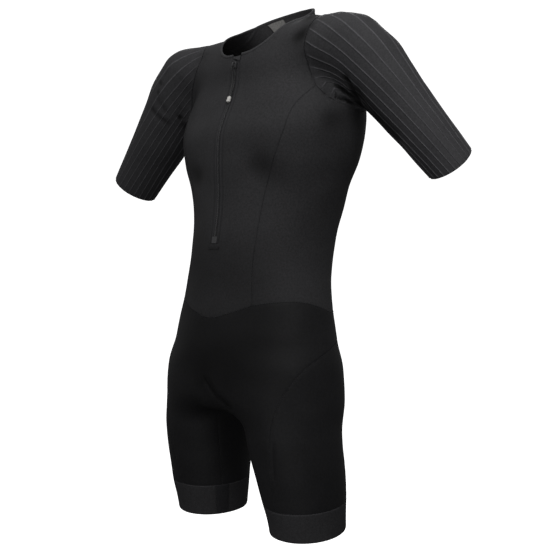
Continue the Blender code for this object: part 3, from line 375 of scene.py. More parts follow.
# Creases: start and end (x, y, z), the reach of the trough and how far it sinks, in millimetres. A
# negative depth is a roll of cloth. The first eight are in the solids too.
creases = {
    "armpits": (
        (161, -56, -140, 183, 6, -159, 6, 4.5), (176, -40, -128, 188, 2, -152, 5.5, 4),
        (168, -52, -132, 187, -10, -150, 4.5, -1.6), (-216, -88, -80, -184, -56, -144, 6, 3.2),
        (-222, -88, -92, -189, -52, -152, 6, 3.4), (-226, -88, -110, -208, -76, -142, 5.5, 2.2),
        (-243, -86, -128, -222, -76, -157, 6, 1.8), (-218, -90, -86, -187, -55, -149, 4, -1.2),
        (204, -14, -168, 166, -54, -146, 3, 5.2), (212, -27, -164, 180, -39, -136, 3.2, 5.6),
        (203, -22, -162, 178, -45, -142, 3.2, -2.2), (219, -24, -170, 203, -48, -123, 6, 5.6),
        (216, -34, -158, 194, -43, -131, 3, -1.4), (236, -34, -180, 222, -48, -140, 7, 2.2),
        (176, -48, -159, 171, -54, -149, 1.8, 1.2), (182, -40, -165, 177, -49, -152, 1.8, 1.3),
        (188, -29, -169, 184, -42, -156, 1.8, 1.2), (-218, -87, -80, -190, -49, -151, 2.2, 2),
        (-223, -88, -99, -192, -55, -147, 2.2, 2.2), (-243, -87, -126, -209, -58, -163, 2.6, 1.8),
        (-236, -88, -112, -202, -62, -158, 2.4, 1.4), (-179, -84, -69, -159, -75, -91, 2.2, 1.2),
        (-195, -86, -61, -222, -88, -92, 3, 1),
    ),
    "sleeveBacks": (
        (188, 58, -98, 184, 30, -160, 6, 2.4), (204, 56, -112, 192, 30, -158, 5, 2),
        (228, 50, -128, 206, 30, -165, 6, 1.3), (-206, 40, -100, -188, 14, -164, 6, 2.2),
        (-226, 36, -118, -200, 10, -168, 5, 1.6), (-262, 14, -130, -246, 6, -176, 6, 1),
    ),
    "crotch": (
        (-6, -161, -606, 20, -158, -634, 3, 3), (8, -160, -600, 34, -154, -632, 4.5, -1),
        (24, -157, -634, 52, -146, -656, 7, 3), (-4, -160, -612, -30, -150, -640, 4, 1.6),
        (-20, -152, -650, -52, -144, -640, 5, 1.2), (20, -146, -652, 56, -146, -640, 5, 1),
    ),
    "thighs": (
        (131, -136, -696, 125, -127, -764, 2.6, 2), (123, -137, -696, 117, -129, -764, 3.4, -1.2),
        (-126, -134, -700, -118, -124, -770, 4, 1),
    ),
    "seat": (
        (30, 52, -640, 112, 44, -648, 7, 2.4), (-34, 52, -644, -106, 44, -642, 7, 2),
        (54, 50, -664, 120, 34, -672, 6, 1.1), (-46, 50, -668, -122, 34, -664, 6, 1.3),
        (0, 58, -520, 0, 46, -640, 11, 2.6),
    ),
    "waist": (
        (-70, 86, -372, 46, 92, -366, 8, 1.5), (-36, 82, -396, 78, 74, -404, 7, 1.3),
        (-84, 66, -424, 10, 74, -428, 8, 1.2), (112, 36, -376, 132, -40, -392, 7, 0.9),
        (-110, 36, -388, -132, -36, -380, 7, 1), (116, 20, -436, 138, -50, -448, 8, 0.7),
        (0, 108, -110, 0, 88, -380, 13, 2),
    ),
    "underArms": (
        (176, 56, -178, 164, 4, -236, 8, 1.2), (170, -40, -182, 158, -66, -218, 7, 0.8),
        (-178, 40, -182, -166, -6, -232, 8, 1.1), (-172, -52, -180, -158, -74, -214, 7, 0.9),
    ),
}

# Broad hollows and swells: the middle (x, y, z), the reach and how far it sinks, in millimetres.
hollows = (
    (88, -116, -262, 24, 3.2), (-88, -116, -264, 22, 2.4), (-62, -124, -270, 18, 2.4),
    (126, -70, -52, 16, 5.4), (-118, -66, -46, 18, 2.2), (86, -104, -152, 44, -2.4),
    (114, -26, -10, 17, -6.5), (78, 14, 12, 9, 2), (-98, 16, 4, 20, -3), (172, -50, -192, 20, 2.8),
    (0, -160, -600, 30, 2), (60, -150, -560, 40, -1.6), (110, -140, -640, 34, -1.8),
    (-84, -106, -154, 44, -1.6), (84, 100, -150, 42, -2.4), (-86, 100, -148, 42, -2.2),
    (128, 60, -270, 34, 1.2), (-130, 58, -262, 34, 1.3), (72, 58, -590, 44, -2.2),
    (-72, 58, -590, 44, -2.2), (150, -40, -530, 30, 1), (-150, -40, -526, 30, 1.1),
)

# Painted shade, where the cloth takes less light in folds, hollows, the crotch and under the arms: the start
# and end of a line and its reach, in millimetres, and the share of its colour that it loses.
paintedShades = (
    (166, -53, -145, 202, -18, -166, 2.6, 0.85), (176, -41, -134, 208, -25, -163, 2.8, 0.92),
    (203, -46, -129, 216, -34, -157, 9, 0.8), (216, -42, -150, 290, -40, -222, 10, 0.7),
    (211, -34, -150, 211, -16, -170, 9, 0.93), (214, -24, -166, 255, -31, -196, 9, 0.92),
    (255, -31, -196, 292, -30, -230, 7, 0.7), (206, 20, -172, 300, 12, -232, 14, 0.5),
    (106, -12, -6, 130, -42, -22, 15, 0.72), (146, -62, -35, 119, -71, -51, 10, 0.5),
    (98, 4, 0, 76, 4, 6, 12, 0.55), (83, -120, -253, 106, -106, -268, 24, 0.3),
    (184, -44, -188, 168, -56, -208, 22, 0.3), (-218, -87, -81, -194, -58, -147, 3.6, 0.75),
    (-223, -88, -99, -194, -58, -147, 3.8, 0.75), (-243, -87, -127, -209, -70, -160, 3.8, 0.6),
    (-198, -46, -156, -184, -50, -170, 9, 0.6), (-195, 14, -162, -195, 14, -162, 14, 0.6),
    (24, -120, -668, 30, -110, -720, 20, 0.65), (10, -158, -606, 22, -157, -632, 5, 0.55),
    (-20, -110, -690, -30, -100, -790, 22, 0.45), (0, -158, -570, 90, -148, -560, 72, 0.58),
    (-40, -138, -420, 80, -138, -430, 62, 0.42), (0, 45, -650, 0, 45, -650, 30, 0.4),
)
# Painted shade in the hollows: the most colour taken, the depth that scales it, and the share of that depth
# before it starts.
hollowPaintedShade = {"most": 0.6, "fullDepth": 4 * mm, "from": 0.15}
creaseEnds = {"fade": 1.15, "power": 2.5}

# Slow swells of the cloth: wave vectors in turns a metre, each with its shift and height.
swells = (
    ((7, 3, 9), 0.3, 0.22), ((-11, 6, 5), 1.7, 0.18), ((4, -9, 13), 2.9, 0.16),
    ((15, 8, -12), 4.1, 0.10), ((-6, 14, 17), 5.2, 0.10), ((19, -11, 8), 0.9, 0.07),
)


# The share of the way along a line, and a bell curve of the distance from it.
def nearLine(p, line, reach):
    start, run = np.array(line[:3]) * mm, np.subtract(line[3:], line[:3]) * mm
    at = np.clip((p - start) @ run / max(run @ run, 1e-12), 0, 1)
    off = np.linalg.norm(p - start - at[:, None] * run, axis=1) / mm
    return at, np.exp(-((off / reach) ** 2))


# Painted shade, one less the colour kept: some goes where a hollow is a few millimetres deep, and more along
# the lines of painted shade.
def paintedShadeAt(p, relief):
    paintedShade = hollowPaintedShade["most"] * np.clip(-relief / hollowPaintedShade["fullDepth"] - hollowPaintedShade["from"], 0, 1)
    for *line, reach, loss in paintedShades:
        paintedShade = 1 - (1 - paintedShade) * (1 - loss * nearLine(p, line, reach)[1])
    return paintedShade


# Sum over creases of depth, faded to the crease's ends, times a bell curve of the distance from it,
# with the hollows as bells round their middles and the swells as sines of the place.
def reliefAt(p):
    height = np.zeros(len(p))
    for group in creases.values():
        for *line, width, depth in group:
            at, near = nearLine(p, line, width)
            fade = creaseEnds["fade"] - np.abs(2 * at - 1) ** creaseEnds["power"]
            height -= depth * near * np.clip(fade, 0, 1)
    for *middle, reach, depth in hollows:
        height -= depth * nearLine(p, middle * 2, reach)[1]
    for wave, shift, size in swells:
        height += size * np.sin(2 * math.pi * (p @ np.array(wave)) + shift)
    return height * mm


# ---- materials

# Each finish: colour, roughness, specular, sheen, grain cells a metre, grain depth in millimetres, how
# cloudy the colour is, how much lighter it is where the mesh says so, and a slot's name.
finishes = {
    "jersey": ((0.0225, 0.0222, 0.0235), 0.72, 0.10, 0.0, 900.0, 0.10, 0.22, 0.0, "jersey"),
    "shorts": ((0.0090, 0.0089, 0.0096), 0.60, 0.10, 0.0, 1100.0, 0.08, 0.25, 0.0, "shorts"),
    "sleeve": ((0.0225, 0.0222, 0.0238), 0.70, 0.12, 0.0, 800.0, 0.12, 0.20, 1.6, "sleeve"),
    "band": ((0.0215, 0.0212, 0.0226), 0.78, 0.10, 0.0, 700.0, 0.14, 0.20, 1.4, "band"),
    "insert": ((0.0130, 0.0130, 0.0145), 0.60, 0.12, 0.0, 700.0, 0.10, 0.18, 1.4, "insert"),
    "binding": ((0.0250, 0.0248, 0.0265), 0.66, 0.15, 0.0, 1000.0, 0.10, 0.15, 0.0, "binding"),
    "tape": ((0.0175, 0.0174, 0.0186), 0.74, 0.12, 0.0, 1200.0, 0.14, 0.12, 2.0, "tape"),
    "thread": ((0.0190, 0.0190, 0.0205), 0.60, 0.12, 0.0, 2600.0, 0.05, 0.20, 0.0, "binding"),
    "label": ((0.1150, 0.1130, 0.1090), 0.70, 0.30, 0.05, 1500.0, 0.08, 0.25, 0.0, "label"),
    "cord": ((0.0070, 0.0070, 0.0078), 0.42, 0.35, 0.0, 1800.0, 0.10, 0.15, 0.0, "cord"),
    "teeth": ((0.0330, 0.0330, 0.0350), 0.36, 0.50, 0.0, 1500.0, 0.02, 0.20, 0.0, "coil"),
    "hard": ((0.0180, 0.0180, 0.0195), 0.32, 0.50, 0.0, 700.0, 0.03, 0.20, 0.0, "hard"),
    "tip": ((0.4300, 0.4200, 0.4000), 0.42, 0.45, 0.0, 500.0, 0.02, 0.10, 0.0, "tip"),
}
surface = {"cloudScale": 11.0, "cloudDetail": 5.0, "mottleScale": 330.0, "mottleDetail": 3.0, "mottle": 0.9,
           "speck": 0.35, "roughSpread": 0.16, "bump": 0.5, "sheenRoughness": 0.5}


def setInputs(node, values):
    for name, value in values.items():
        node.inputs[name].default_value = value


# A cloudy, mottled colour, a roughness that follows the clouds, and fine grain as a bump. The mesh's
# attribute "light" makes the colour stronger by the light input, and its painted shade attribute takes colour
# away where shade falls.
def clothGroup():
    tree = bpy.data.node_groups.new("clothSurface", "ShaderNodeTree")
    for way, names in (("INPUT", "Colour Roughness Grain Depth Clouds Light"),
                       ("OUTPUT", "Colour Roughness Normal")):
        for name in names.split():
            kind = {"Colour": "Color", "Normal": "Vector"}.get(name, "Float")
            tree.interface.new_socket(name, in_out=way, socket_type=f"NodeSocket{kind}")

    def fill(node, values):
        for socket, value in values:
            if isinstance(value, float):
                node.inputs[socket].default_value = value
            else:
                tree.links.new(value, node.inputs[socket])
        return node.outputs

    def add(kind, **values):
        return fill(tree.nodes.new(kind), values.items())

    def maths(kind, *values):
        node = tree.nodes.new("ShaderNodeMath")
        node.operation = kind
        return fill(node, enumerate(values))[0]

    def painted(name):
        node = tree.nodes.new("ShaderNodeAttribute")
        node.attribute_name = name
        return node.outputs["Fac"]

    given = add("NodeGroupInput")
    place = add("ShaderNodeTexCoord")["Object"]
    clouds = add("ShaderNodeTexNoise", Vector=place, Scale=surface["cloudScale"],
                 Detail=surface["cloudDetail"])
    mottle = add("ShaderNodeTexNoise", Vector=place, Scale=surface["mottleScale"],
                 Detail=surface["mottleDetail"])
    grain = add("ShaderNodeTexVoronoi", Vector=place, Scale=given["Grain"])["Distance"]
    cloud = maths("SUBTRACT", clouds["Fac"], 0.5)
    strength = maths("ADD", maths("MULTIPLY", maths("MULTIPLY", cloud, 2.0), given["Clouds"]), 1.0)
    strength = maths("ADD", strength, maths("MULTIPLY", maths("SUBTRACT", 0.5, grain), surface["speck"]))
    strength = maths("ADD", strength,
                     maths("MULTIPLY", maths("SUBTRACT", mottle["Fac"], 0.5), surface["mottle"]))
    strength = maths("MULTIPLY", strength,
                     maths("ADD", maths("MULTIPLY", painted("light"), given["Light"]), 1.0))
    # Painted shade: colour taken away where shade falls in folds, hollows and under the arms.
    strength = maths("MULTIPLY", strength, maths("SUBTRACT", 1.0, painted("paintedShade")))
    scaled = tree.nodes.new("ShaderNodeVectorMath")
    scaled.operation = "SCALE"
    bump = add("ShaderNodeBump", Strength=surface["bump"], Distance=given["Depth"], Height=grain)
    add("NodeGroupOutput", Colour=fill(scaled, ((0, given["Colour"]), ("Scale", strength)))[0],
        Roughness=maths("ADD", maths("MULTIPLY", cloud, surface["roughSpread"]), given["Roughness"]),
        Normal=bump[0])
    return tree


surfaceGroup = clothGroup()


def materialOf(name):
    made = bpy.data.materials.get(f"{name}Finish")
    if made is None:
        colour, roughness, specular, sheen, grain, depth, clouds, light, _ = finishes[name]
        made = bpy.data.materials.new(f"{name}Finish")
        made.use_nodes = True
        tree = made.node_tree
        shader = tree.nodes["Principled BSDF"]
        group = tree.nodes.new("ShaderNodeGroup")
        group.node_tree = surfaceGroup
        setInputs(group, {"Colour": (*colour, 1.0), "Roughness": roughness, "Grain": grain,
                          "Depth": depth * mm,
                          "Clouds": clouds, "Light": light})
        for output, socket in (("Colour", "Base Color"), ("Roughness", "Roughness"), ("Normal", "Normal")):
            tree.links.new(group.outputs[output], shader.inputs[socket])
        setInputs(shader, {"Specular IOR Level": specular, "Sheen Weight": sheen,
                           "Sheen Roughness": surface["sheenRoughness"]})
    return made


# ---- pieces

clothSizes = {"wall": 1.4 * mm, "seamGap": 0.3 * mm, "edgeDrop": 0.35 * mm, "edgeReach": 1.1 * mm,
              "pucker": 0.28 * mm, "puckerReach": 7.0 * mm, "samePoint": 5e-3 * mm, "mostPull": 2.5}
puckerWaves = (((310, 420, 530), 1.0), ((560, -240, 390), 1.0), ((-190, 650, 720), 0.6))


def addPiece(name, points, faces, finish, body="suit", replaces=(), light=None, paintedShade=None, sharp=50.0):
    mesh = bpy.data.meshes.new(name)
    mesh.from_pydata(points, [], faces)
    mesh.validate()
    mesh.shade_smooth()
    mesh.set_sharp_from_angle(angle=math.radians(sharp))
    # The light attribute, and the painted shade attribute that darkens the colour where shade falls.
    for key, values in (("light", light), ("paintedShade", paintedShade)):
        if values is not None:
            mesh.attributes.new(key, "FLOAT", "POINT").data.foreach_set("value", values.astype(np.float32))
    mesh.materials.append(materialOf(finish))
    made = bpy.data.objects.new(name, mesh)
    bpy.context.scene.collection.objects.link(made)
    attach(made, body)
    if replaces:
        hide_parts(*replaces)
    return made


# One set of points and outward four-sided faces from grids that share their edge points.
def joinGrids(grids):
    every = np.concatenate([grid.reshape(-1, 3) for grid in grids])
    _, first, index = np.unique(np.round(every / clothSizes["samePoint"]).astype(np.int64), axis=0,
                                return_index=True, return_inverse=True)
    points, index, faces, start = every[first], index.reshape(-1), [], 0
    for grid in grids:
        rows, columns = grid.shape[:2]
        number = index[start:start + rows * columns].reshape(rows, columns)
        start += rows * columns
        quads = np.stack([number[:-1, :-1], number[1:, :-1], number[1:, 1:], number[:-1, 1:]], axis=-1)
        quads = quads.reshape(-1, 4)
        corners = points[quads]
        facing = np.cross(corners[:, 2] - corners[:, 0], corners[:, 3] - corners[:, 1])
        outward = (facing * normalsOf(corners.mean(axis=1))).sum() > 0
        faces.append(quads if outward else quads[:, ::-1])
    return points, np.concatenate(faces)


# Edges that only one face has, in that face's direction.
def openEdges(faces):
    edges = np.concatenate([faces[:, [k, (k + 1) % 4]] for k in range(4)])
    _, index, count = np.unique(np.sort(edges, axis=1), axis=0, return_inverse=True, return_counts=True)
    return edges[count[index.reshape(-1)] == 1]


# Border points moved into their own piece, square to its border, by half a seam's gap.
def pulledIn(points, normals, edges, gap):
    along = points[edges[:, 1]] - points[edges[:, 0]]
    inward = unit(np.cross(normals[edges[:, 0]] + normals[edges[:, 1]], along))
    sums, counts = np.zeros_like(points), np.zeros(len(points))
    for end in (0, 1):
        np.add.at(sums, edges[:, end], inward)
        np.add.at(counts, edges[:, end], 1)
    border = counts > 0
    size = np.linalg.norm(sums[border], axis=1)
    moved = points.copy()
    pull = np.minimum(counts[border] / size**2, clothSizes["mostPull"] / size)
    moved[border] += sums[border] * (gap * pull)[:, None]
    return moved


# Each point's distance from the piece's border, and the border point nearest it.
def fromBorder(points, edges):
    border = points[np.unique(edges)]
    tree = KDTree(len(border))
    for number, point in enumerate(border):
        tree.insert(point, number)
    tree.balance()
    found = [tree.find(point) for point in points]
    return np.array([hit[2] for hit in found]), border[[hit[1] for hit in found]]


# Along a seam the cloth drops a little, and puckers that fade away from it follow the seam's place.
def edgeRelief(points, edges):
    away, nearest = fromBorder(points, edges)
    drop = clothSizes["edgeDrop"] * np.exp(-((away / clothSizes["edgeReach"]) ** 2))
    wave = sum(size * np.sin(nearest @ np.array(turns, float)) for turns, size in puckerWaves)
    fade = (away / clothSizes["puckerReach"]) * np.exp(1 - away / clothSizes["puckerReach"] * 1.6)
    return clothSizes["pucker"] * wave * fade * 0.5 - drop


# A walled cloth: the outer side lies lift above the form with its relief, the inner side a wall in.
def cloth(node, grids, finish, wall=clothSizes["wall"], lift=0.0, gap=clothSizes["seamGap"] / 2, edges=True,
          light=None):
    points, faces = joinGrids(grids)
    normals = normalsOf(points)
    border = openEdges(faces)
    relief = reliefAt(points)
    # Painted shade in the colour, from the hollows and the lines of painted shade.
    paintedShade = np.tile(paintedShadeAt(points, relief), 2)
    if edges:
        relief = relief + edgeRelief(points, border)
    lit = None if light is None else np.tile(light(points), 2)
    outer = pulledIn(points, normals, border, gap) + normals * (lift + relief)[:, None]
    count = len(points)
    rims = np.stack([border[:, 1], border[:, 0], border[:, 0] + count, border[:, 1] + count], axis=1)
    every = np.concatenate([faces, faces[:, ::-1] + count, rims])
    made = addPiece(f"{node}_cloth", np.concatenate([outer, outer - normals * wall]), every, finish,
                    replaces=(node,), light=lit, paintedShade=paintedShade)


# Half the front in two grids, above and below a line from the zip to the armhole.
frontSizes = {"zipSpaces": 4, "acrossSpaces": 6, "stripSpaces": 2}


def frontGrids(side):
    opening = seamPath("neckFront slotEnd", side)
    high = frontSizes["zipSpaces"] * fineness
    across = straightLine(opening[high], corner("chestCorner", side), frontSizes["acrossSpaces"] * fineness)
    upper = patch(seamPath("neckSide shoulder", side), across,
                  endToEnd([seamPath("neckSide neckFront", side), opening[:high + 1]]),
                  seamPath("shoulder chestCorner", side))
    lower = patch(across, seamPath("waistSlot waistCorner", side),
                  endToEnd([opening[high:], seamPath("slotEnd waistSlot", side)]),
                  seamPath("chestCorner waistCorner", side))
    return [upper, lower]


# The front, with a strip between its halves below the zip.
def frontBody():
    left, right = (seamPath("slotEnd waistSlot", side) for side in (1.0, -1.0))
    share = shares(frontSizes["stripSpaces"] * fineness)[None, :, None]
    strip = right[:, None] * (1 - share) + left[:, None] * share
    strip[:, 1:-1] = ontoForm(strip[:, 1:-1])
    cloth("front_body", frontGrids(1.0) + frontGrids(-1.0) + [strip], "jersey")


def sidePanel(name, side):
    grid = patch(seamPath("chestCorner backCorner", side), seamPath("waistCorner waistSideBack", side),
                 seamPath("chestCorner waistCorner", side), seamPath("backCorner waistSideBack", side))
    cloth(f"side_panel_{name}", [grid], "jersey")


def backGrid():
    top = endToEnd([seamPath("shoulder neckSide neckBack", -1.0),
                    seamPath("neckBack neckSide shoulder", 1.0)])
    bottom = endToEnd([seamPath("waistSideBack waistBack", -1.0), seamPath("waistBack waistSideBack", 1.0)])
    return patch(top, bottom, *(seamPath("shoulder backCorner waistSideBack", side) for side in (-1.0, 1.0)))


def hipFront():
    grids = []
    for side in sides.values():
        slot = seamPath("waistSlot waistCorner", side)
        start = straightLine(corner("waistFront", side), slot[0], fineness)
        top = endToEnd([start, slot, seamPath("waistCorner waistSideBack", side)])
        grids += [patch(top, seamPath("crotch thighFront hipBack", side),
                        seamPath("waistFront crotch", side), seamPath("waistSideBack hipBack", side)),
                  patch(seamPath("crotch thighFront", side),
                        ringPath("inseam bandInnerFront bandFront", side),
                        seamPath("crotch inseam", side), seamPath("thighFront bandFront", side))]
    cloth("hip_front", grids, "shorts")


def seatBack():
    grids = []
    for side in sides.values():
        grids += [patch(seamPath("waistBack waistSideBack", side), seamPath("crotch hipBack", side),
                        seamPath("waistBack crotch", side), seamPath("waistSideBack hipBack", side)),
                  patch(seamPath("crotch hipBack", side),
                        ringPath("bandOuterBack bandInnerBack inseam", side)[::-1],
                        seamPath("crotch inseam", side), seamPath("hipBack bandOuterBack", side))]
    cloth("seat_back", grids, "shorts")


def outerLeg(name, side):
    grid = patch(seamPath("thighFront hipBack", side), ringPath("bandFront bandOuterBack", side),
                 seamPath("thighFront bandFront", side), seamPath("hipBack bandOuterBack", side))
    cloth(f"outer_leg_{name}", [grid], "shorts")


bandParts = (("leg_band", "bandInnerFront bandFront bandOuterBack bandInnerBack", "band"),
             ("band_insert", "bandInnerBack inseam bandInnerFront", "insert"))
bandLine = {"reach": 1.1 * mm, "middleX": 0.115, "middleY": -0.05}


# The gripper band and the insert where its ends meet, with a light line along the top edge: a bell
# curve of the distance below the edge at the same angle round the leg.
def legBand(name, side):
    down = shares(bandRows * fineness)[:, None, None]

    def angleOf(points):
        return np.arctan2(points[:, 1] - bandLine["middleY"], points[:, 0] - side * bandLine["middleX"])

    for node, names, finish in bandParts:
        top, hem = (ringPath(names, side, edge) for edge in ("top", "hem"))
        grid = (1 - down) * top[None] + down * hem[None]
        grid[1:-1] = ontoForm(grid[1:-1])

        def nearTop(points, line=top):
            order = np.argsort(angleOf(line))
            edge = np.interp(angleOf(points), angleOf(line)[order], line[order, 2])
            return np.exp(-(((edge - points[:, 2]) / bandLine["reach"]) ** 2))

        cloth(f"{node}_{name}", [grid], finish, light=nearTop)


# ---- sleeves

sleeveSizes = {"left": {"length": 0.273, "front": 0.026, "top": 0.013},
               "right": {"length": 0.263, "front": -0.002, "top": 0.002}}
ribs = {"count": 24, "height": 0.8 * mm, "halfWidth": 0.085, "crowding": 1.15, "turning": (0.9, 0.38),
        "start": 1.1 * mm, "rise": 9.0 * mm,
        "offsets": (-0.5, -0.34, -0.2, -0.085, -0.043, 0.0, 0.043, 0.085, 0.2, 0.34)}
armholePuckers = {"waves": ((19, 0.0), (31, 1.0)), "size": 0.9, "rise": 6 * mm, "reach": 5 * mm}
rays = {"reach": 0.16, "steps": 40, "halvings": 14}


# Where rays from inside the form first leave it, found by halving the space round the surface.
def outToForm(centre, direction):
    steps = rays["steps"]
    far = np.linspace(0, rays["reach"], steps)
    beyond = formDistance((centre[:, None] + far[None, :, None] * direction[:, None]).reshape(-1, 3))
    first = np.argmax(beyond.reshape(-1, steps) > 0, axis=1)
    near, past = far[np.maximum(first - 1, 0)], far[first]
    for _ in range(rays["halvings"]):
        middle = (near + past) / 2
        outside = formDistance(centre + middle[:, None] * direction) > 0
        near, past = np.where(outside, near, middle), np.where(outside, middle, past)
    return centre + near[:, None] * direction


# Rows from the armhole to the hem, on rays from the arm's middle line that turn slowly on the way.
def sleeveGrid(name, share, rows):
    shoulder, along, lift, back = armFrame(name)
    start = alongLine(seamPath(armhole, sides[name]), share)
    turn = 2 * math.pi * share
    cut = sleeveSizes[name]
    length = cut["length"] + cut["front"] * np.sin(turn) + cut["top"] * np.cos(turn)
    last = np.cos(turn)[:, None] * lift - np.sin(turn)[:, None] * back
    down = (shares(rows) ** ribs["crowding"])[:, None, None]
    centre = shoulder + along * (length[None, :, None] * down)
    slow, quick = ribs["turning"]
    upper = np.clip((np.cos(turn) + 0.35) / 1.35, 0, 1)[None, :, None]
    eased = down ** (slow + (quick - slow) * upper)
    direction = unit(unit(start - shoulder)[None] * (1 - eased) + last[None] * eased)
    grid = outToForm(centre.reshape(-1, 3), direction.reshape(-1, 3)).reshape(rows + 1, len(share), 3)
    grid[0] = start
    return grid


# A tube with fine lengthwise ribs: each rib is a raised cosine across its offsets, over plain cloth.
def sleeve(name):
    count, rows, offsets = ribs["count"], sleeveRows, np.array(ribs["offsets"])
    share = ((np.arange(count)[:, None] + 0.5 + offsets) / count).ravel() % 1.0
    grid = sleeveGrid(name, share, rows)
    normals = normalsOf(grid)
    hole = seamPath(armhole, sides[name])
    normals[0] = alongLine(hole, share, normalsOf(hole))
    grid[0] += unit(grid[1] - grid[0]) * ribs["start"]
    lengths = np.cumsum(np.linalg.norm(np.diff(grid, axis=0), axis=2), axis=0)
    down = np.concatenate([np.zeros((1, grid.shape[1])), lengths])
    up = down[-1][None] - down
    shape = np.where(np.abs(offsets) < ribs["halfWidth"],
                     0.5 + 0.5 * np.cos(math.pi * offsets / ribs["halfWidth"]), 0.0)
    rib = np.tile(shape, count)[None] * np.clip(down / ribs["rise"], 0, 1)
    relief = reliefAt(grid.reshape(-1, 3))
    # Painted shade in the colour, from the hollows and the lines of painted shade.
    paintedShade = np.tile(paintedShadeAt(grid.reshape(-1, 3), relief), 2)
    relief = relief.reshape(grid.shape[:2])
    wave = sum(np.sin(share * 2 * math.pi * turns + shift) for turns, shift in armholePuckers["waves"])
    relief += clothSizes["pucker"] * armholePuckers["size"] * wave[None] * (
        down / armholePuckers["rise"]) * np.exp(1 - down / armholePuckers["reach"])
    relief -= clothSizes["edgeDrop"] * sum(np.exp(-((far / clothSizes["edgeReach"]) ** 2))
                                           for far in (down, up))
    outer = grid + normals * (relief + ribs["height"] * rib)[..., None]
    inner = grid + normals * (relief - clothSizes["wall"])[..., None]
    number = np.arange((rows + 1) * len(share)).reshape(rows + 1, -1)
    beside = np.roll(number, -1, axis=1)
    quads = np.stack([number[:-1], number[1:], beside[1:], beside[:-1]], axis=-1).reshape(-1, 4)
    within = number.size
    ends = [np.stack([number[0], beside[0], beside[0] + within, number[0] + within], axis=-1),
            np.stack([beside[-1], number[-1], number[-1] + within, beside[-1] + within], axis=-1)]
    faces = np.concatenate([quads, quads[:, ::-1] + within] + ends)
    points = np.concatenate([outer.reshape(-1, 3), inner.reshape(-1, 3)])
    corners = points[faces[0]]
    if np.cross(corners[2] - corners[0], corners[3] - corners[1]) @ normals[0, 0] < 0:
        faces = faces[:, ::-1]
    made = addPiece(f"sleeve_{name}_cloth", points, faces, "sleeve", replaces=(f"sleeve_{name}",),
                    light=np.concatenate([rib.ravel(), np.zeros(rib.size)]), paintedShade=paintedShade)


frontBody()
cloth("back_body", [backGrid()], "jersey")
print("front and back made")
hipFront()
seatBack()
for which, way in sides.items():
    sidePanel(which, way)
    outerLeg(which, way)
    legBand(which, way)
    sleeve(which)
print("panels, bands and sleeves made")

# ---- seam tape, binding and stitches

tapeSizes = {"width": 7.0 * mm, "thickness": 0.30 * mm, "depth": 1.45 * mm,
             "section": ((-0.5, 0.0), (0.5, 0.0), (0.46, -1.0), (-0.46, -1.0))}
threadSizes = {"step": 2.2 * mm, "halfWidth": 1.3 * mm, "radius": 0.2 * mm, "height": 0.35 * mm, "fewest": 8,
               "sunk": 0.6, "aside": (1.0, 0.0, -1.0, 0.0), "high": (-0.25, 1.0, -0.25, 1.0)}
bindingSizes = {"width": 4.0 * mm, "lift": 0.8 * mm, "wall": 2.0 * mm, "over": 1.2 * mm,
                "corners": 12, "flatPower": 0.6, "highPower": 0.8}
sewn = ("neckSide shoulder", "chestCorner waistCorner", "backCorner waistSideBack",
        "waistSlot waistCorner waistSideBack waistBack", "waistSideBack hipBack bandOuterBack",
        "bandFront thighFront hipBack", "crotch inseam")


# Faces of a closed tube of rings; a loop joins its last ring to its first.
def tubeFaces(count, width, loop=False):
    number = np.arange(count * width).reshape(count, width)
    after = np.roll(number, -1, axis=0) if loop else number[1:]
    before = number if loop else number[:-1]
    faces = np.stack([before, np.roll(before, -1, axis=1), np.roll(after, -1, axis=1), after], axis=-1)
    faces = [tuple(face) for face in faces.reshape(-1, 4)]
    return faces if loop else faces + [tuple(number[0][::-1]), tuple(number[-1])]


# Faces turned so that the tube's volume is positive.
def orient(rings, faces):
    points = rings.reshape(-1, 3)
    quads = np.array([face for face in faces if len(face) == 4])
    a, b, c, d = (points[quads[:, k]] for k in range(4))
    volume = (np.cross(a, b) * c).sum() + (np.cross(a, c) * d).sum()
    return faces if volume > 0 else [face[::-1] for face in faces]


# Many parts' points and faces as one mesh's.
def together(parts):
    faces, start = [], 0
    for rings, quads in parts:
        faces += [tuple(number + start for number in quad) for quad in quads]
        start += rings.size // 3
    return np.concatenate([rings.reshape(-1, 3) for rings, _ in parts]), faces


# Directions at each point of a line on the form: along it, square to it in the cloth, and outward.
def lineFrame(line, loop=False):
    along = (np.roll(line, -1, axis=0) - np.roll(line, 1, axis=0)) if loop else np.gradient(line, axis=0)
    along = unit(along)
    out = normalsOf(line)
    return along, unit(np.cross(out, along)), out


# Round rings at each point of a path, with their corners turned by a shift.
def roundRings(path, across, over, radius, count, shift=0.0):
    turn = (2 * math.pi * (np.arange(count) + shift) / count)[None, :, None]
    return path[:, None] + radius * (np.cos(turn) * across[:, None] + np.sin(turn) * over[:, None])


# Every sewn line, and whether it closes on itself.
def seamRoutes():
    routes = []
    for side in sides.values():
        routes.append((seamPath(armhole, side), True))
        routes += [(seamPath(names, side), False) for names in sewn]
        ring = ringPath("bandFront bandOuterBack bandInnerBack inseam bandInnerFront bandFront", side)
        routes.append((ring, True))
        for place in ("bandInnerFront", "bandInnerBack"):
            ends = np.array([corner(place, side), bandPoint(side, bandAngles[place], "hem")])
            routes.append((ontoForm(alongLine(ends, shares(bandRows * fineness))), False))
    routes.append((seamPath("waistBack crotch", 1.0), False))
    return routes


# Flat tape behind a seam: a low section swept along the inside of the cloth.
def seamTape():
    wide, deep = np.array(tapeSizes["section"]).T
    wide, deep = wide * tapeSizes["width"], deep * tapeSizes["thickness"] - tapeSizes["depth"]
    parts = []
    for line, loop in seamRoutes():
        line = line[:-1] if loop else line
        _, across, out = lineFrame(line, loop)
        rings = line[:, None] + across[:, None] * wide[None, :, None] + out[:, None] * (
            reliefAt(line)[:, None, None] + deep[None, :, None])
        parts.append((rings, tubeFaces(len(line), len(wide), loop)))
    addPiece("seam_tape", *together(parts), "binding")


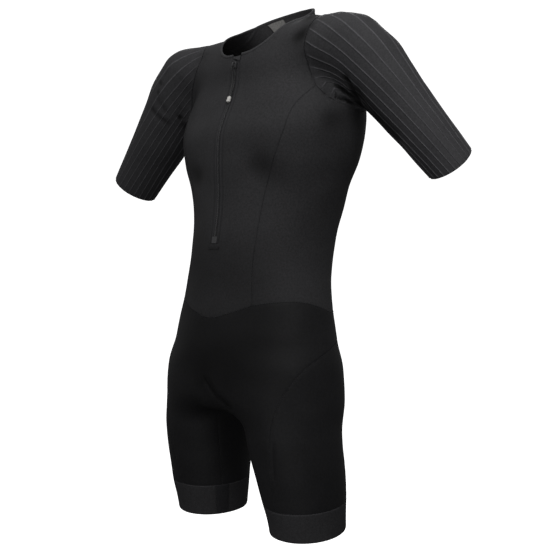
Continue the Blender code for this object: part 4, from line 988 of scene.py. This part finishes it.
# Flatlock thread: it crosses each seam from side to side, sinking into the cloth at every turn.
def seamThread():
    parts = []
    for line, _ in seamRoutes():
        count = max(threadSizes["fewest"], int(lengthsAlong(line)[-1] / threadSizes["step"]))
        path = alongLine(line, shares(2 * count))
        _, across, out = lineFrame(path)
        aside, high = (np.resize(threadSizes[key], len(path)) for key in ("aside", "high"))
        rise = reliefAt(path) - clothSizes["edgeDrop"] * threadSizes["sunk"] + high * threadSizes["height"]
        path = path + across * (aside * threadSizes["halfWidth"])[:, None] + out * rise[:, None]
        _, across, out = lineFrame(path)
        rings = roundRings(path, across, out, threadSizes["radius"], 4, 0.5)
        parts.append((rings, tubeFaces(len(path), 4)))
    addPiece("seam_thread", *together(parts), "thread", sharp=80.0)


# The binding folded over the neck's edge: a flat, rounded section swept round it.
def neckBinding():
    line = endToEnd([seamPath("neckFront neckSide neckBack", 1.0),
                     seamPath("neckBack neckSide neckFront", -1.0)])
    _, away, out = lineFrame(line)
    away *= np.sign(away[len(away) // 2, 2])
    half, over, corners = bindingSizes["width"] / 2, bindingSizes["over"] / 2, bindingSizes["corners"]
    thick = (bindingSizes["wall"] + bindingSizes["lift"]) / 2
    turn = 2 * math.pi * np.arange(corners) / corners
    wide = (half - over
            + (half + over) * np.sign(np.cos(turn)) * np.abs(np.cos(turn)) ** bindingSizes["flatPower"])
    high = np.sign(np.sin(turn)) * np.abs(np.sin(turn)) ** bindingSizes["highPower"]
    rise = reliefAt(line)[:, None] + (bindingSizes["lift"] - thick + thick * high)[None]
    rings = ontoForm(line[:, None] + away[:, None] * wide[None, :, None]) + out[:, None] * rise[..., None]
    made = addPiece("neck_binding_cloth", rings.reshape(-1, 3), orient(rings, tubeFaces(len(line), corners)),
                    "binding", replaces=("neck_binding",))


seamTape()
seamThread()
neckBinding()

# ---- zip

zipSizes = {"tapeInner": 1.0 * mm, "tapeLift": -0.3 * mm, "tapeWall": 1.0 * mm, "tapeSpaces": 8,
            "lineAt": 6.4 * mm, "lineReach": 0.45 * mm, "lineLight": 0.6}
teeth = {"top": -0.0800, "bottom": -0.3740, "pitch": 1.5 * mm, "length": 2.5 * mm, "radius": 0.42 * mm,
         "height": 0.55 * mm, "aside": 0.9 * mm, "flatness": 0.8, "corners": 6,
         "stations": ((-1.0, 0.35), (-0.8, 1.0), (0.6, 1.0), (1.0, 0.4))}
endBar = {"halfWidth": 13.0 * mm, "top": -0.3915, "bottom": -0.3950, "lift": 1.3 * mm, "wall": 1.0 * mm,
          "places": 40, "rows": 6}
garage = {"across": (-7.0 * mm, 10.5 * mm), "top": -0.0690, "bottom": -0.0772, "slant": 0.0060,
          "lift": 1.2 * mm, "wall": 0.8 * mm, "places": 19, "rows": 10}


# A grid on the zip's own line: at places across it, between two heights.
def zipStrip(xs, top, bottom, rows):
    edge = seamPath("neckFront slotEnd waistSlot", 1.0)
    order = np.argsort(edge[:, 2])
    heights = np.linspace(top, bottom, rows + 1)
    y = np.interp(heights, edge[order, 2], edge[order, 1])
    x, z = np.meshgrid(xs, heights)
    return np.stack([x, np.broadcast_to(y[:, None], x.shape), z], axis=-1)


# A light line down each tape, where it is stitched.
def tapeLine(points):
    off = (np.abs(points[:, 0]) - zipSizes["lineAt"]) / zipSizes["lineReach"]
    return np.exp(-(off**2)) * zipSizes["lineLight"]


def zipTapes():
    share = shares(zipSizes["tapeSpaces"])[None, :]
    for name, side in sides.items():
        edge = seamPath("neckFront slotEnd", side)
        x = edge[:, :1] * share + side * zipSizes["tapeInner"] * (1 - share)
        grid = np.stack([x, *(np.broadcast_to(edge[:, axis, None], x.shape) for axis in (1, 2))], axis=-1)
        cloth(f"zip_tape_{name}", [grid], "tape", zipSizes["tapeWall"], zipSizes["tapeLift"], edges=False,
              light=tapeLine)


# Small rounded bars that reach across from each side in turn.
def zipTeeth():
    count = int((teeth["top"] - teeth["bottom"]) / teeth["pitch"] * 2)
    centre = zipStrip((0.0,), teeth["top"], teeth["bottom"], count)[:, 0]
    stations, parts = np.array(teeth["stations"]), []
    for number, (at, normal, rise) in enumerate(zip(centre, normalsOf(ontoForm(centre)), reliefAt(centre))):
        side = np.array((1.0 if number % 2 else -1.0, 0.0, 0.0))
        middle = at + normal * (teeth["height"] + rise) + side * teeth["aside"]
        rings = roundRings(middle + stations[:, :1] * side * teeth["length"] / 2,
                           np.cross(normal, (1.0, 0.0, 0.0))[None], normal[None] * teeth["flatness"],
                           teeth["radius"] * stations[:, 1, None, None], teeth["corners"])
        parts.append((rings, orient(rings, tubeFaces(len(stations), teeth["corners"]))))
    addPiece("zip_teeth", *together(parts), "teeth", replaces=("zip_coil",), sharp=60.0)


# The bartack patch under the zip, and the slanted tab over its top.
def zipTrim():
    xs = np.linspace(-endBar["halfWidth"], endBar["halfWidth"], endBar["places"])
    bar = zipStrip(xs, endBar["top"], endBar["bottom"], endBar["rows"])
    tab = zipStrip(np.linspace(*garage["across"], garage["places"]), garage["top"], garage["bottom"],
                   garage["rows"])
    slant = np.linspace(garage["slant"], 0, garage["places"])[None] * shares(garage["rows"])[:, None]
    fall = (tab[-1, 0, 1] - tab[0, 0, 1]) / (tab[-1, 0, 2] - tab[0, 0, 2])
    tab[..., 2] += slant
    tab[..., 1] += slant * fall
    for node, grid, finish, sizes in (("zip_end_bar", bar, "tape", endBar),
                                      ("zip_garage", tab, "binding", garage)):
        cloth(node, [grid], finish, sizes["wall"], sizes["lift"], 0.0, edges=False)


zipTapes()
zipTeeth()
zipTrim()

# ---- label

labelSizes = {"rows": (0.15, 1.7), "columns": (7.2, 8.9), "places": 19, "wall": 0.5 * mm, "gap": 1.1 * mm}


# The label lies inside the back, between rows and columns of the solids' grid.
def neckLabel():
    grid = backGrid()
    rows, columns = (np.linspace(*labelSizes[name], labelSizes["places"]) * fineness
                     for name in ("rows", "columns"))
    i, j = np.floor(rows).astype(int), np.floor(columns).astype(int)
    v, u = (rows - i)[:, None, None], (columns - j)[None, :, None]
    made = ((1 - v) * (1 - u) * grid[i][:, j] + (1 - v) * u * grid[i][:, j + 1]
            + v * (1 - u) * grid[i + 1][:, j] + v * u * grid[i + 1][:, j + 1])
    cloth("neck_label", [made], "label", labelSizes["wall"], -clothSizes["wall"] - labelSizes["gap"], 0.0,
          edges=False)


neckLabel()

# ---- pull

pullSizes = {"slider": -0.0842, "cordRadius": 0.8 * mm, "corners": 12, "spaces": 66}
frontLine = {"points": 120, "y": (-0.094, -0.153), "z": (-0.072, -0.190)}
cordPath = {  # millimetres: half the space between the strands, down the front from the crossing, height
    "step": (0.0, 1.0, 2.0, 3.0, 4.0, 5.0, 6.0, 7.0, 8.0, 9.0, 10.0, 11.0),
    "out": (0.0, 1.3, 2.1, 2.5, 2.5, 2.4, 2.2, 2.0, 1.7, 1.5, 1.4, 1.4),
    "down": (0.0, 0.0, 0.3, 1.1, 6.0, 12.0, 22.0, 33.0, 42.0, 49.0, 54.0, 56.2),
    "height": (5.3, 5.3, 5.3, 5.3, 5.2, 4.2, 2.9, 2.3, 2.3, 2.7, 3.0, 3.0),
}


# Points by distance across, down the middle of the front from the slider, and above the form.
def downTheFront(x, down, height):
    line = np.zeros((frontLine["points"], 3))
    for axis, name in ((1, "y"), (2, "z")):
        line[:, axis] = np.linspace(*frontLine[name], frontLine["points"])
    line = ontoForm(line, onForm["cornerRounds"])
    far = lengthsAlong(line)
    start = np.interp(-pullSizes["slider"], -line[:, 2], far)
    base = np.stack([np.interp(start + down, far, line[:, axis]) for axis in range(3)], axis=-1)
    out = normalsOf(base)
    base[..., 0] += x
    return base + out * height[..., None]


# The cord, up one side, across under the bail and down the other.
def pullCord():
    steps = np.linspace(0, cordPath["step"][-1], pullSizes["spaces"] + 1)
    out, down, height = (value * mm for value in smoothRead(cordPath, steps, ("out", "down", "height")))
    path = downTheFront(*(np.concatenate([half[:0:-1] * way, half])
                          for half, way in ((out, -1), (down, 1), (height, 1))))
    along, across, _ = lineFrame(path)
    rings = roundRings(path, across, np.cross(across, along), pullSizes["cordRadius"], pullSizes["corners"])
    addPiece("pull_cord", rings.reshape(-1, 3), orient(rings, tubeFaces(len(path), pullSizes["corners"])),
             "cord", body="pull", replaces=("pull_loop",))


pullCord()
for node, finish in (("zip_slider", "hard"), ("zip_end_box", "hard"), ("pull_tip", "tip")):
    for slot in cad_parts[node].material_slots:
        slot.material = materialOf(finish)
print("zip and trim made")

# ---- floor, light and camera

studio = {"floorHeight": -1.45, "backdrop": 3.6, "bend": 1.2, "front": -6.0, "top": 6.0, "halfWidth": 9.0,
          "pale": 0.80, "roughness": 0.9, "glow": 0.9}
skyFade = {"From Min": -0.5, "From Max": 0.9, "To Min": 0.05, "To Max": 0.52}
lamps = {  # place, target, size, watts
    "key": ((1.15, -0.85, 0.80), (0.0, -0.05, -0.30), 0.7, 15.5),
    "fill": ((-0.9, -1.9, 0.6), (0.0, 0.0, -0.20), 1.0, 7.0),
    "low": ((0.75, -1.35, -1.15), (0.0, -0.05, -0.85), 0.7, 5.0),
    "top": ((0.3, -0.2, 1.3), (0.1, 0.0, -0.10), 0.7, 9.0),
    "back": ((-0.9, 1.3, 0.7), (0.0, 0.0, -0.35), 0.8, 12.0),
    "inside": ((0.02, -0.03, -0.13), (-0.03, 0.03, 0.0), 0.05, 0.05),
}
cameraSizes = {"azimuth": 45.0, "distance": 1.55, "height": -0.405, "lens": 57.34, "sensor": 36.0,
               "shiftY": -20 / 550}


# A floor that bends up into a backdrop behind the suit, seen from the camera's side.
def stageSet():
    reach, bend = studio["backdrop"], studio["bend"]
    turn = np.linspace(0, math.pi / 2, 13)
    far = np.concatenate([[studio["front"], 0.0], reach + bend * np.sin(turn), [reach + bend]])
    high = np.concatenate([[0.0, 0.0], bend * (1 - np.cos(turn)), [studio["top"]]]) + studio["floorHeight"]
    wide = np.array((-1.0, 1.0)) * studio["halfWidth"]
    angle = math.radians(cameraSizes["azimuth"])
    right, back = np.array((math.cos(angle), math.sin(angle))), np.array((-math.sin(angle), math.cos(angle)))
    grid = np.zeros((len(far), 2, 3))
    grid[..., :2] = far[:, None, None] * back + wide[None, :, None] * right
    grid[..., 2] = high[:, None]
    number = np.arange(len(far) * 2).reshape(-1, 2)
    faces = np.stack([number[:-1, 0], number[:-1, 1], number[1:, 1], number[1:, 0]], axis=-1)
    mesh = bpy.data.meshes.new("studio_floor")
    mesh.from_pydata(grid.reshape(-1, 3), [], faces)
    mesh.shade_smooth()
    pale = bpy.data.materials.new("paleFloor")
    pale.use_nodes = True
    setInputs(pale.node_tree.nodes["Principled BSDF"], {
        "Base Color": (studio["pale"], studio["pale"], studio["pale"], 1.0), "Roughness": studio["roughness"],
        "Specular IOR Level": 0.0, "Emission Color": (1.0, 1.0, 1.0, 1.0),
        "Emission Strength": studio["glow"]})
    mesh.materials.append(pale)
    floor = bpy.data.objects.new("studio_floor", mesh)
    bpy.context.scene.collection.objects.link(floor)
    floor.visible_diffuse = floor.visible_glossy = False


def lightsAndCamera():
    scene = bpy.context.scene
    scene.world = bpy.data.worlds.new("studio")
    scene.world.use_nodes = True
    tree = scene.world.node_tree
    coords, parts, fade = (tree.nodes.new(f"ShaderNode{kind}")
                           for kind in ("TexCoord", "SeparateXYZ", "MapRange"))
    tree.links.new(coords.outputs["Generated"], parts.inputs[0])
    tree.links.new(parts.outputs["Z"], fade.inputs["Value"])
    setInputs(fade, skyFade)
    tree.links.new(fade.outputs["Result"], tree.nodes["Background"].inputs["Strength"])
    setInputs(tree.nodes["Background"], {"Color": (1, 1, 1, 1)})
    scene.view_settings.view_transform = "Standard"
    for name, (place, target, size, watts) in lamps.items():
        lamp = bpy.data.lights.new(name, "AREA")
        lamp.shape, lamp.size, lamp.energy = "DISK", size, watts
        made = bpy.data.objects.new(name, lamp)
        made.visible_camera = False
        made.location = place
        made.rotation_euler = (Vector(target) - Vector(place)).to_track_quat("-Z", "Y").to_euler()
        scene.collection.objects.link(made)
    camera = bpy.data.cameras.new("camera")
    camera.lens, camera.sensor_width, camera.shift_y = (cameraSizes[key]
                                                        for key in ("lens", "sensor", "shiftY"))
    angle = math.radians(cameraSizes["azimuth"])
    made = bpy.data.objects.new("camera", camera)
    made.location = (math.sin(angle) * cameraSizes["distance"], -math.cos(angle) * cameraSizes["distance"],
                     cameraSizes["height"])
    made.rotation_euler = (math.pi / 2, 0, angle)
    scene.collection.objects.link(made)
    scene.camera = made


stageSet()
lightsAndCamera()
print("finishing")
